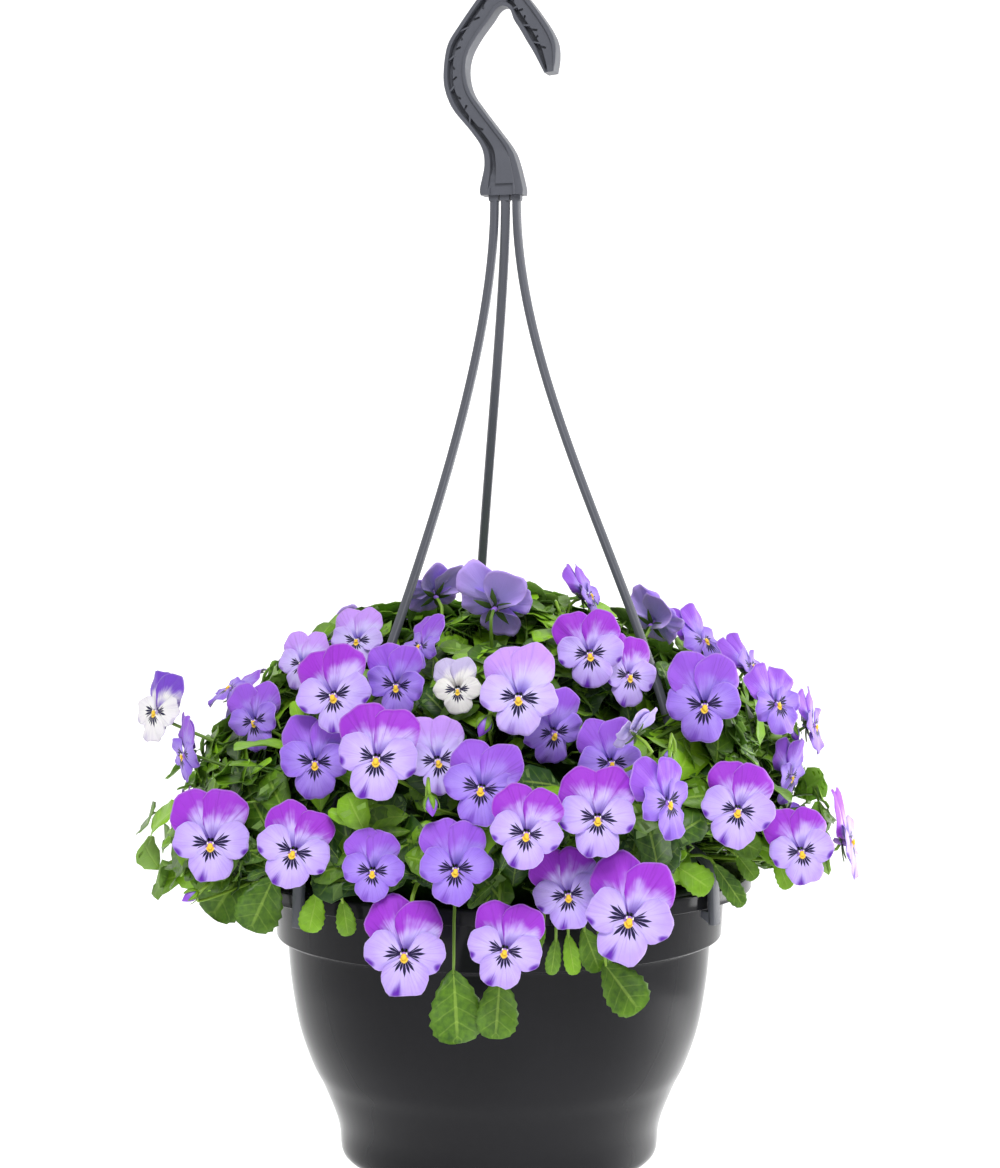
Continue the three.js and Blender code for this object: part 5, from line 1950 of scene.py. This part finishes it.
    def build_blooms(self, velvets: dict[Tone, Material]) -> None:
        """Builds every bloom, the front's one by one and the far ones a piece for each wedge.

        Args:
            velvets: the petals' finishes.
        """
        form = BloomForm()
        for k, bloom in enumerate(self.front, start=1):
            node, tone = f"bloom_{k:02d}", bloom.tone
            make_piece(node + "_petals", form.skins(bloom, k), [velvets[tone]], [node])
        for wedge in WEDGES:
            for k, bloom in enumerate(self.far_blooms(wedge)):
                skins, tone = form.skins(bloom, wedge.seed * 10 + k), bloom.tone
                make_piece(f"{wedge.name}_bloom_{k + 1}", skins, [velvets[tone]])

    def build_buds(self, velvet: Material, green: Material) -> None:
        """Builds the buds, each from the root of the wedge that holds it."""
        for k, bud in enumerate(BUDS, start=1):
            at = DOME.seen(bud.across, bud.up, bud.lift)
            wedge = next(wedge for wedge in WEDGES if wedge.holds(at))
            make_piece(f"bud_{k}", bud.skins(wedge.root_of(at)), [velvet, green])

    def build_wedge(self, wedge: Wedge, green: Material) -> None:
        """Builds a wedge's leaves, stalks and flower stalks as one piece.

        Args:
            wedge: the wedge.
            green: the greenery's finish.
        """
        dice = np.random.default_rng(wedge.seed)
        blooms = [b for b in self.front if wedge.holds(b.bend())]
        flower_runs = [self.flower_stalk(wedge, b) for b in blooms]
        own = [self.flower_stalk(wedge, b) for b in self.far_blooms(wedge)]
        hanging = self.hanging(wedge, HANGING_LEAVES)
        layout = self.layout_leaves(wedge, flower_runs, hanging)
        leaves = hanging + [leaf for leaf in layout if not self.hides_clip(leaf.samples()).any()]
        leaves += self.hanging(wedge, SPRIG_LEAVES)
        fine = {name: np.array([getattr(leaf, name) for leaf in leaves], float)
                for name in ("foot", "tip", "face", "length", "width", "arch")}
        shades = [LARGE_HANGING_SHADES if leaf.hangs and leaf.length > 23 else OTHER_LEAF_SHADES for leaf in leaves]
        fine["shade"] = np.array([dice.uniform(*shade) for shade in shades])
        small = self.mass(wedge, dice, int(self.tries * (wedge.end - wedge.start)))
        skins = [self.blades(fine, 21, 9, dice), self.blades(small, 9, 3, dice),
                 self.stems(flower_runs + own, 0.95, 7, 14, dice),
                 self.stems([self.leaf_stalk(wedge, leaf) for leaf in leaves], 0.8, 6, 10, dice),
                 self.petioles(small, dice)]
        if wedge.name == "plant_front":
            skins.append(self.painted_shade_core())
        make_piece(wedge.name + "_greenery", skins, [green], [wedge.name])
        LOG.info("%s: %d small leaves", wedge.name, len(small["length"]))


# ---- Stage ----
@dataclass
class Studio:
    """Plain pale floor that sweeps up behind, soft lights and the camera.

    Args:
        floor: height of the floor in metres.
        lens: the camera's focal length in mm.
        drop: share of the picture's height that the level line stands over its middle.
    """

    floor: float = -0.42
    lens: float = 73.95
    drop: float = 0.0805

    def build(self) -> None:
        """Sets the floor, the lights, the world and the camera."""
        self.backdrop()
        self.lights()
        self.camera()

    def backdrop(self) -> None:
        """A sheet that runs along the floor, bends up in a quarter circle and stands as a wall."""
        bend = np.linspace(0, math.pi / 2, 25)
        curve = np.stack([2.0 + 1.2 * np.sin(bend), 1.2 - 1.2 * np.cos(bend)], axis=1)
        run = np.concatenate([[[-4.0, 0.0]], curve, [[3.2, 4.5]]])
        x = np.array([-6.0, 6.0])
        grid = np.stack(np.broadcast_arrays(x[None, :], run[:, :1], run[:, 1:] + self.floor), axis=-1)
        mesh = bpy.data.meshes.new("floor")
        mesh.from_pydata(grid.reshape(-1, 3).tolist(), [], grid_quads(len(run), 2)[:, ::-1].tolist())
        mesh.polygons.foreach_set("use_smooth", np.ones(len(mesh.polygons), bool))
        sh = Shader("pale_floor")
        tint = sh.blend(sh.noise(sh.place(), 3.0), srgb(243, 243, 243), srgb(247, 247, 247))
        glow = srgb(255, 255, 255)
        mesh.materials.append(sh.surface(tint, 0.9, Emission_Color=glow, Emission_Strength=0.45))
        floor = bpy.data.objects.new("floor", mesh)
        bpy.context.scene.collection.objects.link(floor)

    def area(self, name: str, at: Sequence[float], size: float, power: float) -> None:
        """A square soft light that looks at the planting, its size in metres and its power in watts.

        Args:
            name: its name.
            at: its place in metres.
            size: its side in metres.
            power: its power in watts.
        """
        lamp = bpy.data.lights.new(name, "AREA")
        lamp.size, lamp.energy = size, power
        light = bpy.data.objects.new(name, lamp)
        light.location = at
        light.rotation_euler = (Vector((0, 0, 0.2)) - Vector(at)).to_track_quat("-Z", "Y").to_euler()
        bpy.context.scene.collection.objects.link(light)

    def lights(self) -> None:
        """A pale world, a large light before and above, and one at each side; plain display colours."""
        world = bpy.data.worlds.new("studio")
        world.use_nodes = True
        world.node_tree.nodes["Background"].inputs["Color"].default_value = (1, 1, 1, 1)
        world.node_tree.nodes["Background"].inputs["Strength"].default_value = 0.5
        bpy.context.scene.world = world
        self.area("key", at=(0.15, -1.7, 2.0), size=0.9, power=44)
        self.area("left", at=(-1.5, 0.5, 0.3), size=1.0, power=3)
        self.area("right", at=(1.5, 0.5, 0.3), size=1.0, power=22)
        bpy.context.scene.view_settings.view_transform = "Standard"

    def camera(self) -> None:
        """The eye before the basket, level, with the picture moved down to hold the pot."""
        lens = bpy.data.cameras.new("camera")
        lens.lens, lens.sensor_width = self.lens, 36
        lens.clip_start, lens.clip_end = 0.05, 50
        camera = bpy.data.objects.new("camera", lens)
        camera.location = (0.0005, -1.214, 0.334)
        lens.shift_y = -self.drop
        camera.rotation_euler = (math.radians(90), 0, 0)
        bpy.context.scene.collection.objects.link(camera)
        bpy.context.scene.camera = camera


def main() -> None:
    """Builds the basket piece by piece, then the studio, and notes the sizes."""
    logging.basicConfig(level=logging.INFO, format="%(name)s %(message)s")
    Studio().build()
    anthracite = MouldedPlastic("pot_plastic", srgb(30, 30, 33), roughness=0.12, grain=0.000004, shine=0.12)
    satin = MouldedPlastic("hanger_plastic", srgb(82, 84, 92), roughness=0.4, grain=0.00008, shine=0.4)
    glossy, grey = anthracite.material(), satin.material()
    pot = Pot()
    pot.build(glossy)
    Soil().build(PottingSoil().material())
    hook = Hook()
    hook.build(grey)
    for side in Side:
        Strand(side, hook).build(grey)
    planting = Planting(pot)
    velvets = {tone: velvet.material() for tone, velvet in VELVETS.items()}
    planting.build_blooms(velvets)
    green = Greenery("greenery", srgb(34, 70, 14), srgb(136, 188, 34), srgb(170, 204, 84)).material()
    planting.build_buds(velvets[Tone.LILAC], green)
    for wedge in WEDGES:
        planting.build_wedge(wedge, green)


if __name__ == "__main__":
    main()
